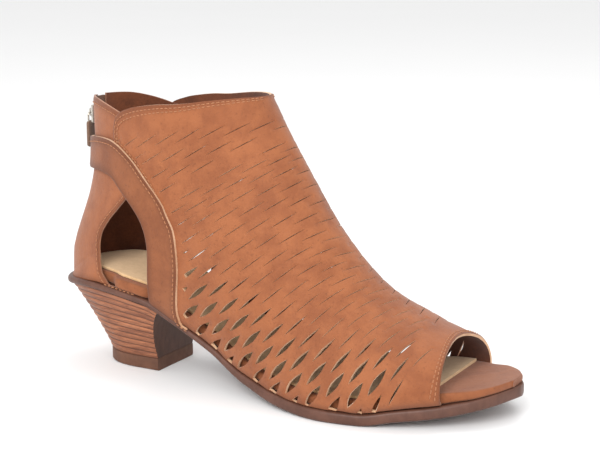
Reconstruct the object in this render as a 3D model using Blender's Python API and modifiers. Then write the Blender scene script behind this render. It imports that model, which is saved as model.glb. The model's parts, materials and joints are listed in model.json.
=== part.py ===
# A perforated peep-toe ankle sandal for the right foot, standing on a stacked block heel.
# Frame: +X towards the toe, +Y towards the inner side of the foot, +Z up.
# The origin is the middle of the heel lift's face on the floor.

import math

import bmesh
import bpy
from mathutils import Matrix, Vector

mm = 0.001

# Overall sizes
shoe_length = 238.2 * mm
heel_overhang = 42 * mm
ball_width = 82 * mm
seat_height = 43.4 * mm
collar_height = 138 * mm
joint_gap = 0.3 * mm

# Sole and heel
waist_edge = 3.1 * mm
forefoot_edge = 5.4 * mm
sole_margin = 0.8 * mm
rim_bulge = 0.4 * mm
footbed_thickness = 5 * mm
footbed_lip = 1.2 * mm
sock_thickness = 1.2 * mm
sock_inset = 2.4 * mm
lift_length = 35 * mm
lift_width = 31 * mm
lift_thickness = 6.2 * mm
heel_layers = 11
layer_groove = 0.5 * mm
heel_back_inset = 3.6 * mm
heel_side_inset = 1.2 * mm
breast_top = 25 * mm
breast_hollow = 5.5 * mm

# Upper and straps
upper_wall = 1.9 * mm
strap_thickness = 1.4 * mm
strap_overhang = 0.6 * mm
row_pitch = 4 * mm
slit_period = 19.5 * mm
slit_length = 14.5 * mm
slit_opening = 3.4 * mm
rows_first, rows_last = 1, 21
cut_slits_a_side = 2

# Zip, slider and pull
zip_slot_width = 8 * mm
zip_bottom = 76 * mm
zip_tape = 1.2 * mm
zip_teeth_width = 3 * mm
zip_teeth_rise = 0.9 * mm
slider_length = 9 * mm
slider_width = 6 * mm
slider_thickness = 1.8 * mm
slider_below_collar = 5.5 * mm
bail_wire = 1 * mm
bail_rise = 2.6 * mm
bail_gap = 2.4 * mm
pull_loop_wire = 1 * mm
pull_loop_drop = 4 * mm
tab_length = 13 * mm
tab_width = 7 * mm
tab_thickness = 2 * mm

lateral, medial = -1, 1
sides = (lateral, medial)
half_ball = ball_width / 2
heel_back = -heel_overhang
toe_tip = heel_back + shoe_length

# Sole outline. The widths are shares of half the ball width, out from the heel's line.
outline_table = [
    # share of the length from the heel's back, lateral, medial
    (0.00, 0, 0),
    (0.02, 0.33, 0.33),
    (0.06, 0.53, 0.54),
    (0.12, 0.665, 0.65),
    (0.20, 0.7, 0.665),
    (0.30, 0.675, 0.605),
    (0.40, 0.705, 0.54),
    (0.50, 0.81, 0.595),
    (0.60, 0.955, 0.765),
    (0.68, 1.02, 0.93),
    (0.74, 0.98, 0.985),
    (0.80, 0.885, 0.96),
    (0.87, 0.715, 0.865),
    (0.93, 0.49, 0.735),
    (0.97, 0.25, 0.53),
    (0.99, 0.03, 0.33),
    (1.00, -0.15, 0.15),
]

# Height of the outsole's lower face, as a share of the seat height.
sole_table = [
    # share of the length, height
    (0.00, 0.86),
    (0.11, 0.93),
    (0.24, 0.84),
    (0.32, 0.655),
    (0.41, 0.42),
    (0.49, 0.18),
    (0.58, 0.04),
    (0.65, 0.00),
    (0.75, 0.00),
    (0.82, 0.065),
    (0.90, 0.125),
    (1.00, 0.24),
]

# Back line of the upper.
back_table = [
    # height / collar height, distance from the sole's back / heel overhang
    (0.250, 0.030),
    (0.315, 0.034),
    (0.377, 0.041),
    (0.435, 0.093),
    (0.512, 0.190),
    (0.607, 0.307),
    (0.700, 0.376),
    (0.810, 0.402),
    (0.900, 0.393),
    (1.100, 0.393),
]

# Sections of the upper, from the toe opening to the collar. Each lies in the plane
# through a place on the ridge and one on the base line. The base is a share of the
# feather line's length ahead of the heel's back, or below 0 a share of the collar
# height up the back seam. Widths are shares of half the ball width.
section_table = [
    # ridge along, ridge height, base, lateral, medial, widest depth, fullness, crest shift
    (0.905, 0.235, 0.902, 0.64, 0.80, 0.8, 2, 0.10),
    (0.877, 0.250, 0.836, 0.83, 0.90, 0.8, 1.95, 0.08),
    (0.842, 0.270, 0.783, 0.94, 0.965, 0.8, 1.95, 0.06),
    (0.800, 0.304, 0.710, 1.02, 0.975, 0.8, 1.95, 0.05),
    (0.754, 0.349, 0.620, 0.99, 0.85, 0.78, 1.95, 0.03),
    (0.712, 0.403, 0.536, 0.9, 0.75, 0.74, 1.95, 0.02),
    (0.669, 0.478, 0.450, 0.83, 0.69, 0.68, 1.95, 0.01),
    (0.634, 0.551, 0.383, 0.79, 0.68, 0.63, 1.95, 0),
    (0.602, 0.628, 0.311, 0.76, 0.68, 0.58, 1.95, 0),
    (0.573, 0.707, 0.231, 0.735, 0.68, 0.55, 1.95, 0),
    (0.544, 0.788, 0.114, 0.71, 0.68, 0.52, 1.95, 0),
    (0.532, 0.821, 0.045, 0.7, 0.68, 0.51, 2, 0),
    (0.524, 0.846, 0.000, 0.69, 0.67, 0.5, 2, 0),
    (0.515, 0.872, -0.060, 0.68, 0.665, 0.5, 2, 0),
    (0.500, 0.915, -0.190, 0.66, 0.65, 0.5, 2, 0),
    (0.488, 0.951, -0.360, 0.635, 0.63, 0.5, 2, 0),
    (0.476, 0.988, -0.530, 0.62, 0.62, 0.5, 2, 0),
    (0.460, 1.040, -0.730, 0.61, 0.61, 0.5, 2, 0),
]

# Side views, as shares of the shoe's length from the heel's back and of the collar height.
collar_outline = [
    (0.000, 0.952),
    (0.070, 0.952),
    (0.111, 0.950),
    (0.145, 0.938),
    (0.172, 0.925),
    (0.203, 0.920),
    (0.234, 0.936),
    (0.314, 0.956),
    (0.391, 0.976),
    (0.477, 0.988),
    (0.594, 0.990),
]
window_back_edge = [
    (0.217, 0.640),
    (0.193, 0.597),
    (0.159, 0.537),
    (0.137, 0.480),
    (0.133, 0.420),
    (0.143, 0.360),
    (0.162, 0.317),
    (0.189, 0.250),
]
window_front_edge = [
    (0.270, 0.230),
    (0.271, 0.287),
    (0.272, 0.340),
    (0.274, 0.421),
    (0.273, 0.480),
    (0.263, 0.537),
    (0.238, 0.599),
]
strap_back_edge = [
    (0.000, 0.690),
    (0.067, 0.700),
    (0.128, 0.706),
    (0.171, 0.695),
    (0.198, 0.660),
]
strap_front_edge = [
    (0.342, 0.180),
    (0.340, 0.228),
    (0.336, 0.262),
    (0.340, 0.339),
    (0.343, 0.409),
    (0.340, 0.478),
    (0.333, 0.538),
    (0.317, 0.586),
    (0.297, 0.638),
    (0.259, 0.709),
    (0.224, 0.766),
    (0.177, 0.814),
    (0.128, 0.822),
    (0.067, 0.806),
    (0.000, 0.796),
]


class Curve:
    """A smooth curve through a table's points that never overshoots them."""

    def __init__(self, points):
        self.xs = [p[0] for p in points]
        self.ys = [p[1] for p in points]
        steps = [b - a for a, b in zip(self.xs, self.xs[1:])]
        rises = [(b - a) / s for a, b, s in zip(self.ys, self.ys[1:], steps)]
        self.slopes = [rises[0]]
        for before, after in zip(rises, rises[1:]):
            turning = before * after <= 0
            self.slopes.append(0.0 if turning else 2 * before * after / (before + after))
        self.slopes.append(rises[-1])

    def __call__(self, x):
        x = min(max(x, self.xs[0]), self.xs[-1])
        i = 0
        while i < len(self.xs) - 2 and x > self.xs[i + 1]:
            i += 1
        step = self.xs[i + 1] - self.xs[i]
        t = (x - self.xs[i]) / step
        start = self.ys[i] * (1 + 2 * t) * (1 - t) ** 2 + step * self.slopes[i] * t * (1 - t) ** 2
        end = self.ys[i + 1] * t * t * (3 - 2 * t) - step * self.slopes[i + 1] * t * t * (1 - t)
        return start + end


def ease(t):
    t = min(max(t, 0.0), 1.0)
    return t * t * (3 - 2 * t)


def mix(a, b, t):
    return a + (b - a) * t


def turn(share):
    """Angle that spreads places evenly round a blunt end."""
    return math.acos(1 - 2 * min(max(share, 0.0), 1.0))


def share_along(x):
    return (x - heel_back) / shoe_length


def place(share):
    return heel_back + share * shoe_length


# Sole shape
outline_curve = {
    lateral: Curve([(turn(a), left * half_ball) for a, left, right in outline_table]),
    medial: Curve([(turn(a), right * half_ball) for a, left, right in outline_table]),
}
sole_curve = Curve([(a, h * seat_height) for a, h in sole_table])
back_curve = Curve([(h * collar_height, heel_back + s * heel_overhang) for h, s in back_table])
feather_back = back_curve(seat_height)


def sole_half(x, side):
    return outline_curve[side](turn(share_along(x)))


def sole_lower(x):
    return sole_curve(share_along(x))


def sole_upper(x):
    return sole_lower(x) + mix(waist_edge, forefoot_edge, ease((share_along(x) - 0.33) / 0.27))


def feather_half(x, side):
    """Half width of the upper's lower edge, inside the outsole's rim."""
    back_reach = 60 * mm
    shift = (feather_back - heel_back) * (1 - ease((x - feather_back) / back_reach))
    return max(sole_half(x - shift, side) - sole_margin, 0.0)


def base_point(base):
    """Place and height on the feather line, or above it on the back seam."""
    if base >= 0:
        x = mix(feather_back, toe_tip, base)
        return x, sole_upper(x) + joint_gap
    z = sole_upper(feather_back) + joint_gap - base * collar_height
    return back_curve(z), z


# Upper's surface
def section_curve(column, scale=1.0, start=0.0):
    return Curve([(i, start + row[column] * scale) for i, row in enumerate(section_table)])


ridge_x = section_curve(0, shoe_length, heel_back)
ridge_z = section_curve(1, collar_height)
section_base = section_curve(2)
section_half = {lateral: section_curve(3, half_ball), medial: section_curve(4, half_ball)}
section_depth = section_curve(5)
section_fullness = section_curve(6)
section_crest = section_curve(7, half_ball)
last_section = len(section_table) - 1
seam_section = [row[2] for row in section_table].index(0.0)


def upper_point(section, t, side):
    """Place on the upper. t runs from the ridge (0) by the widest place (0.5) to the base (1)."""
    base = section_base(section)
    x0, z0 = ridge_x(section), ridge_z(section)
    x1, z1 = base_point(base)
    foot = feather_half(x1, side) if base > 0 else 0.0
    widest = max(section_half[side](section), foot)
    depth = section_depth(section)
    if t <= 0.5:
        angle = t * math.pi
        bend = 2 / section_fullness(section)
        half = widest * math.sin(angle) ** bend
        down = depth * (1 - math.cos(angle) ** bend)
        crest = section_crest(section) * math.cos(angle) ** 2
    else:
        closing = max(math.acos(min(foot / widest, 1.0)), 0.01)
        angle = (2 * t - 1) * closing
        half = widest * math.cos(angle)
        down = depth + (1 - depth) * math.sin(angle) / math.sin(closing)
        crest = 0.0
    if base <= 0 and t >= 1:
        half = 0.0
    return Vector((mix(x0, x1, down), crest + side * half, mix(z0, z1, down)))


# Making solids
def clear_scene():
    for thing in list(bpy.data.objects):
        bpy.data.objects.remove(thing)


def new_collection(name):
    collection = bpy.data.collections.new(name)
    bpy.context.scene.collection.children.link(collection)
    return collection


def material(name, colour, roughness, metallic=0.0):
    made = bpy.data.materials.new(name)
    made.use_nodes = True
    shader = made.node_tree.nodes["Principled BSDF"]
    shader.inputs["Base Color"].default_value = (*colour, 1)
    shader.inputs["Roughness"].default_value = roughness
    shader.inputs["Metallic"].default_value = metallic
    return made


def add_mesh(name, mesh, collection, finish=None):
    thing = bpy.data.objects.new(name, mesh)
    collection.objects.link(thing)
    if finish:
        mesh.materials.append(finish)
    return thing


def finish_bmesh(shape, name):
    bmesh.ops.recalc_face_normals(shape, faces=shape.faces)
    mesh = bpy.data.meshes.new(name)
    shape.to_mesh(mesh)
    shape.free()
    return mesh


def loft(name, rings):
    """A closed solid through rings of points, with flat ends."""
    shape = bmesh.new()
    loops = [[shape.verts.new(p) for p in ring] for ring in rings]
    count = len(rings[0])
    for before, after in zip(loops, loops[1:]):
        for i in range(count):
            j = (i + 1) % count
            shape.faces.new((before[i], before[j], after[j], after[i]))
    shape.faces.new(loops[0])
    shape.faces.new(loops[-1])
    bmesh.ops.triangulate(shape, faces=[f for f in shape.faces if len(f.verts) > 4])
    return finish_bmesh(shape, name)


def side_prism(name, outline, near, far, collection):
    """A solid with an outline drawn from the side, from one y to another."""
    rings = [[Vector((x, y, z)) for x, z in outline] for y in (near, far)]
    cutter = add_mesh(name, loft(name, rings), collection)
    hide_cutter(cutter)
    return cutter


def hide_cutter(cutter):
    cutter.hide_render = True
    cutter.display_type = "WIRE"


def boolean(thing, cutter, operation="DIFFERENCE", tidy_self=False):
    step = thing.modifiers.new(operation.title(), "BOOLEAN")
    step.operation = operation
    step.object = cutter
    step.solver = "EXACT"
    step.use_self = tidy_self


def side_view(points):
    return [(place(a), h * collar_height) for a, h in points]


def box(name, size, centre, collection, finish):
    bpy.ops.mesh.primitive_cube_add(size=1, location=centre)
    thing = bpy.context.object
    thing.name = name
    thing.data.transform(Matrix.Diagonal((*size, 1)))
    thing.data.materials.append(finish)
    for holder in list(thing.users_collection):
        holder.objects.unlink(thing)
    collection.objects.link(thing)
    return thing


# Sole
def sole_stations(first, last, count):
    start, end = turn(first), turn(last)
    angles = [mix(start, end, i / (count - 1)) for i in range(count)]
    return [place((1 - math.cos(angle)) / 2) for angle in angles]


def plate(name, stations, half_width, lower, upper, bulge, collection, finish):
    """A sole-like plate. Its edge stands out by bulge at mid height."""
    across = (-1, -0.5, 0, 0.5, 1)
    rings = []
    for x in stations:
        left, right = half_width(x, lateral), half_width(x, medial)
        middle = (right - left) / 2
        reach = (right + left) / 2
        top = [Vector((x, middle + a * reach, upper(x))) for a in across]
        low = [Vector((x, middle + a * (reach - bulge), lower(x))) for a in reversed(across)]
        mid = (lower(x) + upper(x)) / 2
        right_edge = Vector((x, middle + reach + bulge, mid))
        left_edge = Vector((x, middle - reach - bulge, mid))
        rings.append(top + [right_edge] + low + [left_edge])
    return add_mesh(name, loft(name, rings), collection, finish)


def rim_half(x, side):
    return sole_half(x, side) - rim_bulge


def make_outsole(collection, finish):
    stations = sole_stations(0.002, 0.9985, 38)
    return plate("outsole", stations, rim_half, sole_lower, sole_upper, rim_bulge, collection, finish)


peep_x = ridge_x(0)
window_back_x = place(window_back_edge[-2][0])
window_front_x = place(window_front_edge[1][0])


def footbed_open(x):
    """1 where no upper covers the footbed's edge, as at the toe and in the windows."""
    blend = 9 * mm
    toe = ease((x - mix(feather_back, toe_tip, section_table[0][2]) - 1 * mm) / blend)
    rear = ease((x - window_back_x - 1.5 * mm) / (blend / 2))
    front = ease((window_front_x - 1.5 * mm - x) / (blend / 2))
    return max(toe, rear * front)


def footbed_half(x, side):
    rear = 1 - ease((x - feather_back) / (70 * mm))
    covered = upper_wall + joint_gap + mix(0.5 * mm, 4.2 * mm, rear)
    inset = mix(covered, footbed_lip - sole_margin, footbed_open(x))
    back_inset = (feather_back - heel_back) * 0.5 * (1 - ease((x - feather_back) / (40 * mm)))
    return max(feather_half(x - back_inset, side) - inset, 0.3 * mm)


def footbed_lower(x):
    return sole_upper(x) + joint_gap


def footbed_upper(x):
    return footbed_lower(x) + footbed_thickness * mix(1, 0.62, footbed_taper(x))


def footbed_taper(x):
    return ease((x - place(0.86)) / (shoe_length * 0.13))


def make_footbed(collection, finish):
    first = share_along(feather_back + upper_wall + joint_gap + 1.8 * mm)
    stations = sole_stations(first, 0.990, 36)
    edge = 0.45 * mm
    return plate(
        "footbed", stations, footbed_half, footbed_lower, footbed_upper, edge, collection, finish
    )


def make_sock(collection, finish):
    first = share_along(feather_back + upper_wall + joint_gap + 4.6 * mm)
    stations = sole_stations(first, 0.868, 26)

    def half(x, side):
        return max(footbed_half(x, side) - sock_inset * mix(1, 1.9, footbed_open(x)), 0.3 * mm)

    def lower(x):
        return footbed_upper(x) + joint_gap

    def upper(x):
        return lower(x) + sock_thickness

    return plate("sock", stations, half, lower, upper, 0.1 * mm, collection, finish)


# Heel
def lift_half(share):
    """Half width of the D-shaped lift, from its round back (0) to its breast (1)."""
    reach = 0.62
    if share >= reach:
        return lift_width / 2
    return lift_width / 2 * (1 - (1 - share / reach) ** 2.2) ** (1 / 2.2)


def breast_x(level):
    """Place of the heel's front face at a level from the lift (0) to the seat (1)."""
    return mix(lift_length / 2, breast_top, level) - breast_hollow * level * (1 - level) * 2


def heel_ring(level, height, groove):
    """One closed ring round the heel. height works out z from x."""
    count = 13
    spread = level ** 1.15
    back = mix(-lift_length / 2, heel_back + heel_back_inset, spread) + groove
    front = breast_x(level)
    ring = []
    for side in sides:
        run = []
        for i in range(count):
            share = 1 - math.cos(math.pi / 2 * (i + 0.35) / (count - 0.65))
            x = mix(back, front, share)
            top_x = mix(heel_back + heel_back_inset * 0.45, breast_top, share)
            seat = sole_half(top_x, side) - heel_side_inset
            half = mix(lift_half(share), seat, spread) - groove
            run.append(Vector((x, side * half, height(x))))
        ring += run if side == medial else reversed(run)
    return ring


def make_heel(collection, finish):
    seat_gap = joint_gap
    rings = []
    for step in range(2 * heel_layers + 1):
        level = step / (2 * heel_layers)
        groove = layer_groove if step % 2 == 0 and 0 < step < 2 * heel_layers else 0.0

        def height(x, level=level):
            return mix(lift_thickness + joint_gap, sole_lower(x) - seat_gap, level)

        rings.append(heel_ring(level, height, groove))
    return add_mesh("heel", loft("heel", rings), collection, finish)


def make_lift(collection, finish):
    rings = [heel_ring(0, lambda x, z=z: z, inset) for z, inset in (
        (0, 0.6 * mm), (0.6 * mm, 0), (lift_thickness, 0)
    )]
    return add_mesh("top_lift", loft("top_lift", rings), collection, finish)


# Upper
def section_steps():
    steps = [i / 2 for i in range(2 * last_section + 1)]
    return sorted(steps + [seam_section - 0.25, seam_section + 0.25])


def sheet(columns):
    """The upper's outer surface as an open mesh."""
    shape = bmesh.new()
    grid = []
    for section in section_steps():
        row = [upper_point(section, 1 - i / columns, lateral) for i in range(columns)]
        row += [upper_point(section, i / columns, medial) for i in range(columns + 1)]
        grid.append([shape.verts.new(p) for p in row])
    for before, after in zip(grid, grid[1:]):
        for i in range(2 * columns):
            shape.faces.new((before[i], before[i + 1], after[i + 1], after[i]))
    bmesh.ops.remove_doubles(shape, verts=shape.verts, dist=0.00002)
    bmesh.ops.recalc_face_normals(shape, faces=shape.faces)
    shape.normal_update()
    outward = sum(f.normal.y * f.calc_center_median().y for f in shape.faces)
    if outward < 0:
        bmesh.ops.reverse_faces(shape, faces=shape.faces)
        shape.normal_update()
    return shape


def shell(name, near, far, columns=11):
    """The solid between two offsets from the upper's outer surface."""
    shape = sheet(columns)
    border = [e for e in shape.edges if e.is_boundary]
    outer = list(shape.verts)
    inner = {}
    for vert in outer:
        out = vert.normal.copy()
        floor = sole_upper(vert.co.x) + joint_gap
        on_feather = vert.co.z < floor + 0.02 * mm
        if on_feather:
            out.z = 0
            out.normalize()
        start = vert.co.copy()
        vert.co = start + out * near
        inner[vert] = shape.verts.new(start + out * far)
    for face in [f for f in shape.faces]:
        shape.faces.new([inner[v] for v in reversed(face.verts)])
    for edge in border:
        a, b = edge.verts
        shape.faces.new((a, b, inner[b], inner[a]))
    bmesh.ops.triangulate(shape, faces=shape.faces)
    return finish_bmesh(shape, name)


def slit_lens(section, t, side, opening):
    """Corner points of one slit's prism through the wall, lens shaped."""
    middle = upper_point(section, t, side)
    ahead = upper_point(section, t + 0.02, side) - upper_point(section, t - 0.02, side)
    across = upper_point(section - 0.1, t, side) - upper_point(section + 0.1, t, side)
    out = ahead.cross(across).normalized()
    if out.y * side < 0:
        out.negate()
    ahead.normalize()
    wide = out.cross(ahead)
    half = slit_length / 2
    outline = [(-half, 0), (-half / 3, opening / 2), (half / 3, opening / 2)]
    outline += [(half, 0), (half / 3, -opening / 2), (-half / 3, -opening / 2)]
    reach = 3 * upper_wall
    rings = []
    for depth in (-reach, reach):
        rings.append([middle + ahead * a + wide * b + out * depth for a, b in outline])
    return rings


def section_length(section, side, pieces=24):
    points = [upper_point(section, i / pieces, side) for i in range(pieces + 1)]
    return sum((b - a).length for a, b in zip(points, points[1:]))


def t_at_length(section, side, wanted, pieces=48):
    """Place on a section at a distance from the ridge."""
    run, before = 0.0, upper_point(section, 0, side)
    for i in range(1, pieces + 1):
        after = upper_point(section, i / pieces, side)
        step = (after - before).length
        if run + step >= wanted:
            return (i - 1 + (wanted - run) / step) / pieces
        run, before = run + step, after
    return 1.0


def ridge_sections():
    """Sections where the rows of slits lie, a row pitch apart along the ridge."""
    rows, run = [], 0.0
    pieces = 40
    before = Vector((ridge_x(0), ridge_z(0)))
    for i in range(1, last_section * pieces):
        section = i / pieces
        after = Vector((ridge_x(section), ridge_z(section)))
        run += (after - before).length
        before = after
        if run >= row_pitch:
            rows.append(section)
            run -= row_pitch
    return rows


def slit_cutter(collection):
    """The widest slits, near the sole on both sides."""
    foot_clear = 3.4 * mm
    prisms = bmesh.new()
    for number, section in enumerate(ridge_sections()):
        if not rows_first <= number <= rows_last:
            continue
        for side in sides:
            length = section_length(section, side)
            stagger = slit_period / 2 if number % 2 else 0.0
            fitting = int((length - stagger - slit_length / 2 - foot_clear) / slit_period)
            for back in range(cut_slits_a_side):
                middle = stagger + (fitting - back) * slit_period
                if middle < slit_period:
                    continue
                opening = slit_opening * mix(1, 0.35, min((length - middle) / (60 * mm), 1))
                t = t_at_length(section, side, middle)
                if in_strap(upper_point(section, t, side)):
                    continue
                near, far = slit_lens(section, t, side, opening)
                ends = [[prisms.verts.new(p) for p in ring] for ring in (near, far)]
                for i in range(6):
                    j = (i + 1) % 6
                    prisms.faces.new((ends[0][i], ends[0][j], ends[1][j], ends[1][i]))
                prisms.faces.new(ends[0])
                prisms.faces.new(ends[1])
    cutter = add_mesh("slit_cutter", finish_bmesh(prisms, "slit_cutter"), collection)
    hide_cutter(cutter)
    return cutter


def in_strap(point):
    """True where a slit would run under the strap."""
    reach = slit_length / 2 + 1 * mm
    edge = [(h * collar_height, place(a)) for a, h in reversed(strap_front_edge[:10])]
    edge.sort()
    front = Curve(edge)
    return point.x - reach < front(point.z)


def collar_cutter(collection):
    top = 1.35 * collar_height
    outline = side_view(collar_outline)
    outline += [(outline[-1][0], top), (outline[0][0] - 30 * mm, top)]
    outline.append((outline[0][0] - 30 * mm, outline[0][1]))
    return side_prism("collar_cutter", outline, -ball_width, ball_width, collection)


def window_cutter(collection):
    outline = side_view(window_back_edge + window_front_edge)
    return side_prism("window_cutter", outline, -ball_width, ball_width, collection)


def zip_cutter(collection):
    x = back_curve(0.8 * collar_height)
    size = (30 * mm, zip_slot_width, collar_height)
    centre = (x, 0, zip_bottom + collar_height / 2)
    cutter = box("zip_cutter", size, centre, collection, material("cutter", (0.5, 0.5, 0.5), 0.5))
    hide_cutter(cutter)
    return cutter


def make_upper(collection, cutters, finish):
    thing = add_mesh("upper", shell("upper", 0, -upper_wall), collection, finish)
    boolean(thing, collar_cutter(cutters))
    boolean(thing, window_cutter(cutters))
    boolean(thing, zip_cutter(cutters))
    boolean(thing, slit_cutter(cutters))
    return thing


def make_strap(name, side, collection, cutters, finish):
    near = joint_gap + strap_thickness
    thing = add_mesh(name, shell(name, near, joint_gap), collection, finish)
    inner_edge = side_view(strap_back_edge)
    inner_edge += [(x - strap_overhang, z) for x, z in side_view(reversed(window_front_edge))]
    outline = inner_edge + side_view(strap_front_edge)
    start = zip_slot_width / 2 + joint_gap
    form = side_prism(name + "_form", outline, side * start, side * ball_width, cutters)
    boolean(thing, form, "INTERSECT", tidy_self=True)
    return thing


# Zip
def slider_top():
    return collar_height * collar_outline[0][1] - slider_below_collar


def zip_ring(z, half, inner, outer, rise):
    """Ring of the zip's section at a height: a tape whose middle stands out where the teeth are."""
    x = back_curve(z)
    tooth = zip_teeth_width / 2
    return [
        Vector((x + inner, -half, z)),
        Vector((x + inner, half, z)),
        Vector((x + outer, half, z)),
        Vector((x + outer - rise, tooth, z)),
        Vector((x + outer - rise, -tooth, z)),
        Vector((x + outer, -half, z)),
    ]


def make_zip(collection, finish):
    """Tape and teeth in the back slot, from the slot's foot to just under the collar."""
    bottom = zip_bottom + joint_gap
    top = collar_height * collar_outline[0][1] - 1 * mm
    half = zip_slot_width / 2 - joint_gap
    inner = (upper_wall + zip_tape) / 2
    outer = (upper_wall - zip_tape) / 2
    count = 10
    levels = [mix(bottom, top, i / (count - 1)) for i in range(count)]
    rings = [zip_ring(z, half, inner, outer, zip_teeth_rise) for z in levels]
    return add_mesh("zip_tape", loft("zip_tape", rings), collection, finish)


def teeth_face():
    """Outermost x of the zip's teeth beside the slider."""
    heights = [slider_top() - slider_length * i / 4 for i in range(5)]
    return min(back_curve(z) for z in heights) + (upper_wall - zip_tape) / 2 - zip_teeth_rise


def pull_pivot():
    x = teeth_face() - joint_gap - slider_thickness - bail_rise / 2
    return Vector((x, 0, slider_top() - slider_length * 0.45))


def tube(name, points, wire, collection, finish, closed=False):
    """A round wire along points, as one mesh solid."""
    curve = bpy.data.curves.new(name, "CURVE")
    curve.dimensions = "3D"
    curve.bevel_depth = wire / 2
    curve.bevel_resolution = 2
    curve.use_fill_caps = True
    spline = curve.splines.new("POLY")
    spline.points.add(len(points) - 1)
    for spot, point in zip(spline.points, points):
        spot.co = (*point, 1)
    spline.use_cyclic_u = closed
    holder = bpy.data.objects.new(name, curve)
    collection.objects.link(holder)
    bpy.context.view_layer.update()
    graph = bpy.context.evaluated_depsgraph_get()
    mesh = bpy.data.meshes.new_from_object(holder.evaluated_get(graph))
    bpy.data.objects.remove(holder)
    shape = bmesh.new()
    shape.from_mesh(mesh)
    bmesh.ops.remove_doubles(shape, verts=shape.verts, dist=0.00001)
    bmesh.ops.recalc_face_normals(shape, faces=shape.faces)
    shape.to_mesh(mesh)
    shape.free()
    mesh.materials.clear()
    return add_mesh(name, mesh, collection, finish)


def make_slider(collection, cutters, finish):
    """Slider body over the teeth with its bail, a low arch that carries the pull."""
    face = teeth_face() - joint_gap
    z = slider_top() - slider_length / 2
    centre = (face - slider_thickness / 2, 0, z)
    size = (slider_thickness, slider_width, slider_length)
    body = box("zip_slider", size, centre, collection, finish)
    soften = body.modifiers.new("Bevel", "BEVEL")
    soften.width = 0.5 * mm
    soften.segments = 1
    pivot = pull_pivot()
    feet = face - slider_thickness / 2
    crown = face - slider_thickness - bail_rise
    rise = bail_gap / 2 + bail_wire / 2
    points = [(feet, 0, pivot.z - rise), (crown + 0.6 * mm, 0, pivot.z - rise)]
    points += [(crown, 0, pivot.z - rise + 0.6 * mm), (crown, 0, pivot.z + rise - 0.6 * mm)]
    points += [(crown + 0.6 * mm, 0, pivot.z + rise), (feet, 0, pivot.z + rise)]
    bail = tube("bail", [Vector(p) for p in points], bail_wire, cutters, finish)
    hide_cutter(bail)
    boolean(body, bail, "UNION")
    return body


def make_pull(collection, cutters, finish):
    """Wire loop through the bail with a folded leather tab hanging from it."""
    pivot = pull_pivot()
    hinge = bpy.data.objects.new("pull_hinge", None)
    collection.objects.link(hinge)
    hinge.location = pivot
    half = tab_width / 2 - pull_loop_wire
    drop = pull_loop_drop
    corner = 0.8 * mm
    points = [(0, -half + corner, 0), (0, half - corner, 0), (0, half, -corner)]
    points += [(0, half, -drop - corner), (0, -half, -drop - corner), (0, -half, -corner)]
    loop = tube("pull_wire", [Vector(p) for p in points], pull_loop_wire, cutters, finish, True)
    hide_cutter(loop)
    centre = (0, 0, -drop - tab_length / 2)
    tab = box("zip_pull", (tab_thickness, tab_width, tab_length), centre, collection, finish)
    soften = tab.modifiers.new("Bevel", "BEVEL")
    soften.width = 0.6 * mm
    soften.segments = 1
    boolean(tab, loop, "UNION")
    tab.parent = hinge
    loop.parent = hinge
    return tab


def build():
    clear_scene()
    parts = new_collection("peep_toe_sandal")
    cutters = new_collection("cutters")
    tan = material("tan_nubuck", (0.46, 0.19, 0.075), 0.7)
    strap_tan = material("strap_nubuck", (0.44, 0.17, 0.065), 0.68)
    brown_rubber = material("sole_rubber", (0.19, 0.095, 0.065), 0.5)
    lining = material("sock_beige", (0.63, 0.47, 0.29), 0.75)
    wrapped = material("footbed_tan", (0.48, 0.2, 0.08), 0.5)
    stacked = material("stacked_leather", (0.38, 0.16, 0.07), 0.5)
    lift_rubber = material("lift_rubber", (0.08, 0.045, 0.035), 0.6)
    tape = material("zip_tape_brown", (0.2, 0.1, 0.06), 0.8)
    metal = material("zip_metal", (0.6, 0.57, 0.5), 0.3, 1.0)
    tab_leather = material("pull_leather", (0.24, 0.13, 0.08), 0.6)
    make_outsole(parts, brown_rubber)
    make_footbed(parts, wrapped)
    make_sock(parts, lining)
    make_heel(parts, stacked)
    make_lift(parts, lift_rubber)
    make_upper(parts, cutters, tan)
    make_strap("strap_lateral", lateral, parts, cutters, strap_tan)
    make_strap("strap_medial", medial, parts, cutters, strap_tan)
    make_zip(parts, tape)
    make_slider(parts, cutters, metal)
    make_pull(parts, cutters, tab_leather)


build()
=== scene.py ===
import json
import math

import bmesh
import bpy
from mathutils import Matrix, Vector, noise
from mathutils.geometry import delaunay_2d_cdt


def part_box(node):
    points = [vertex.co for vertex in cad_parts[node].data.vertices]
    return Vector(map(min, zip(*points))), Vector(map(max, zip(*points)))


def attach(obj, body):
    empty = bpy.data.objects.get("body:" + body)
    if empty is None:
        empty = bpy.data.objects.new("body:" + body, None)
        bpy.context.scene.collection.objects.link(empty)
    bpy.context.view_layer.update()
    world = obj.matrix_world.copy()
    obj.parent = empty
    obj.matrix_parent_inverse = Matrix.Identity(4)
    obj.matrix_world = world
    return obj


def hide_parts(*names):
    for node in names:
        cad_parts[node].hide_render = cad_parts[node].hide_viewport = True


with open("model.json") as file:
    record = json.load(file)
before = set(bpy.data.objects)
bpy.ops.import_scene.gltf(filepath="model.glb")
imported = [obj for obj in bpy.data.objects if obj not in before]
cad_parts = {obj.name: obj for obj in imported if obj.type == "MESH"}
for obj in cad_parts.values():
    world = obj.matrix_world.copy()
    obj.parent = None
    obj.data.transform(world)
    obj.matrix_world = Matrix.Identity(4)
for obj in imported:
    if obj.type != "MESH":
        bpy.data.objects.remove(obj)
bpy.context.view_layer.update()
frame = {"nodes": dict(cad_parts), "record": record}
scene = bpy.context.scene
mm = 0.001
lateral, medial = -1, 1
bothSides = (lateral, medial)
print("frame loaded")

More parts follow.
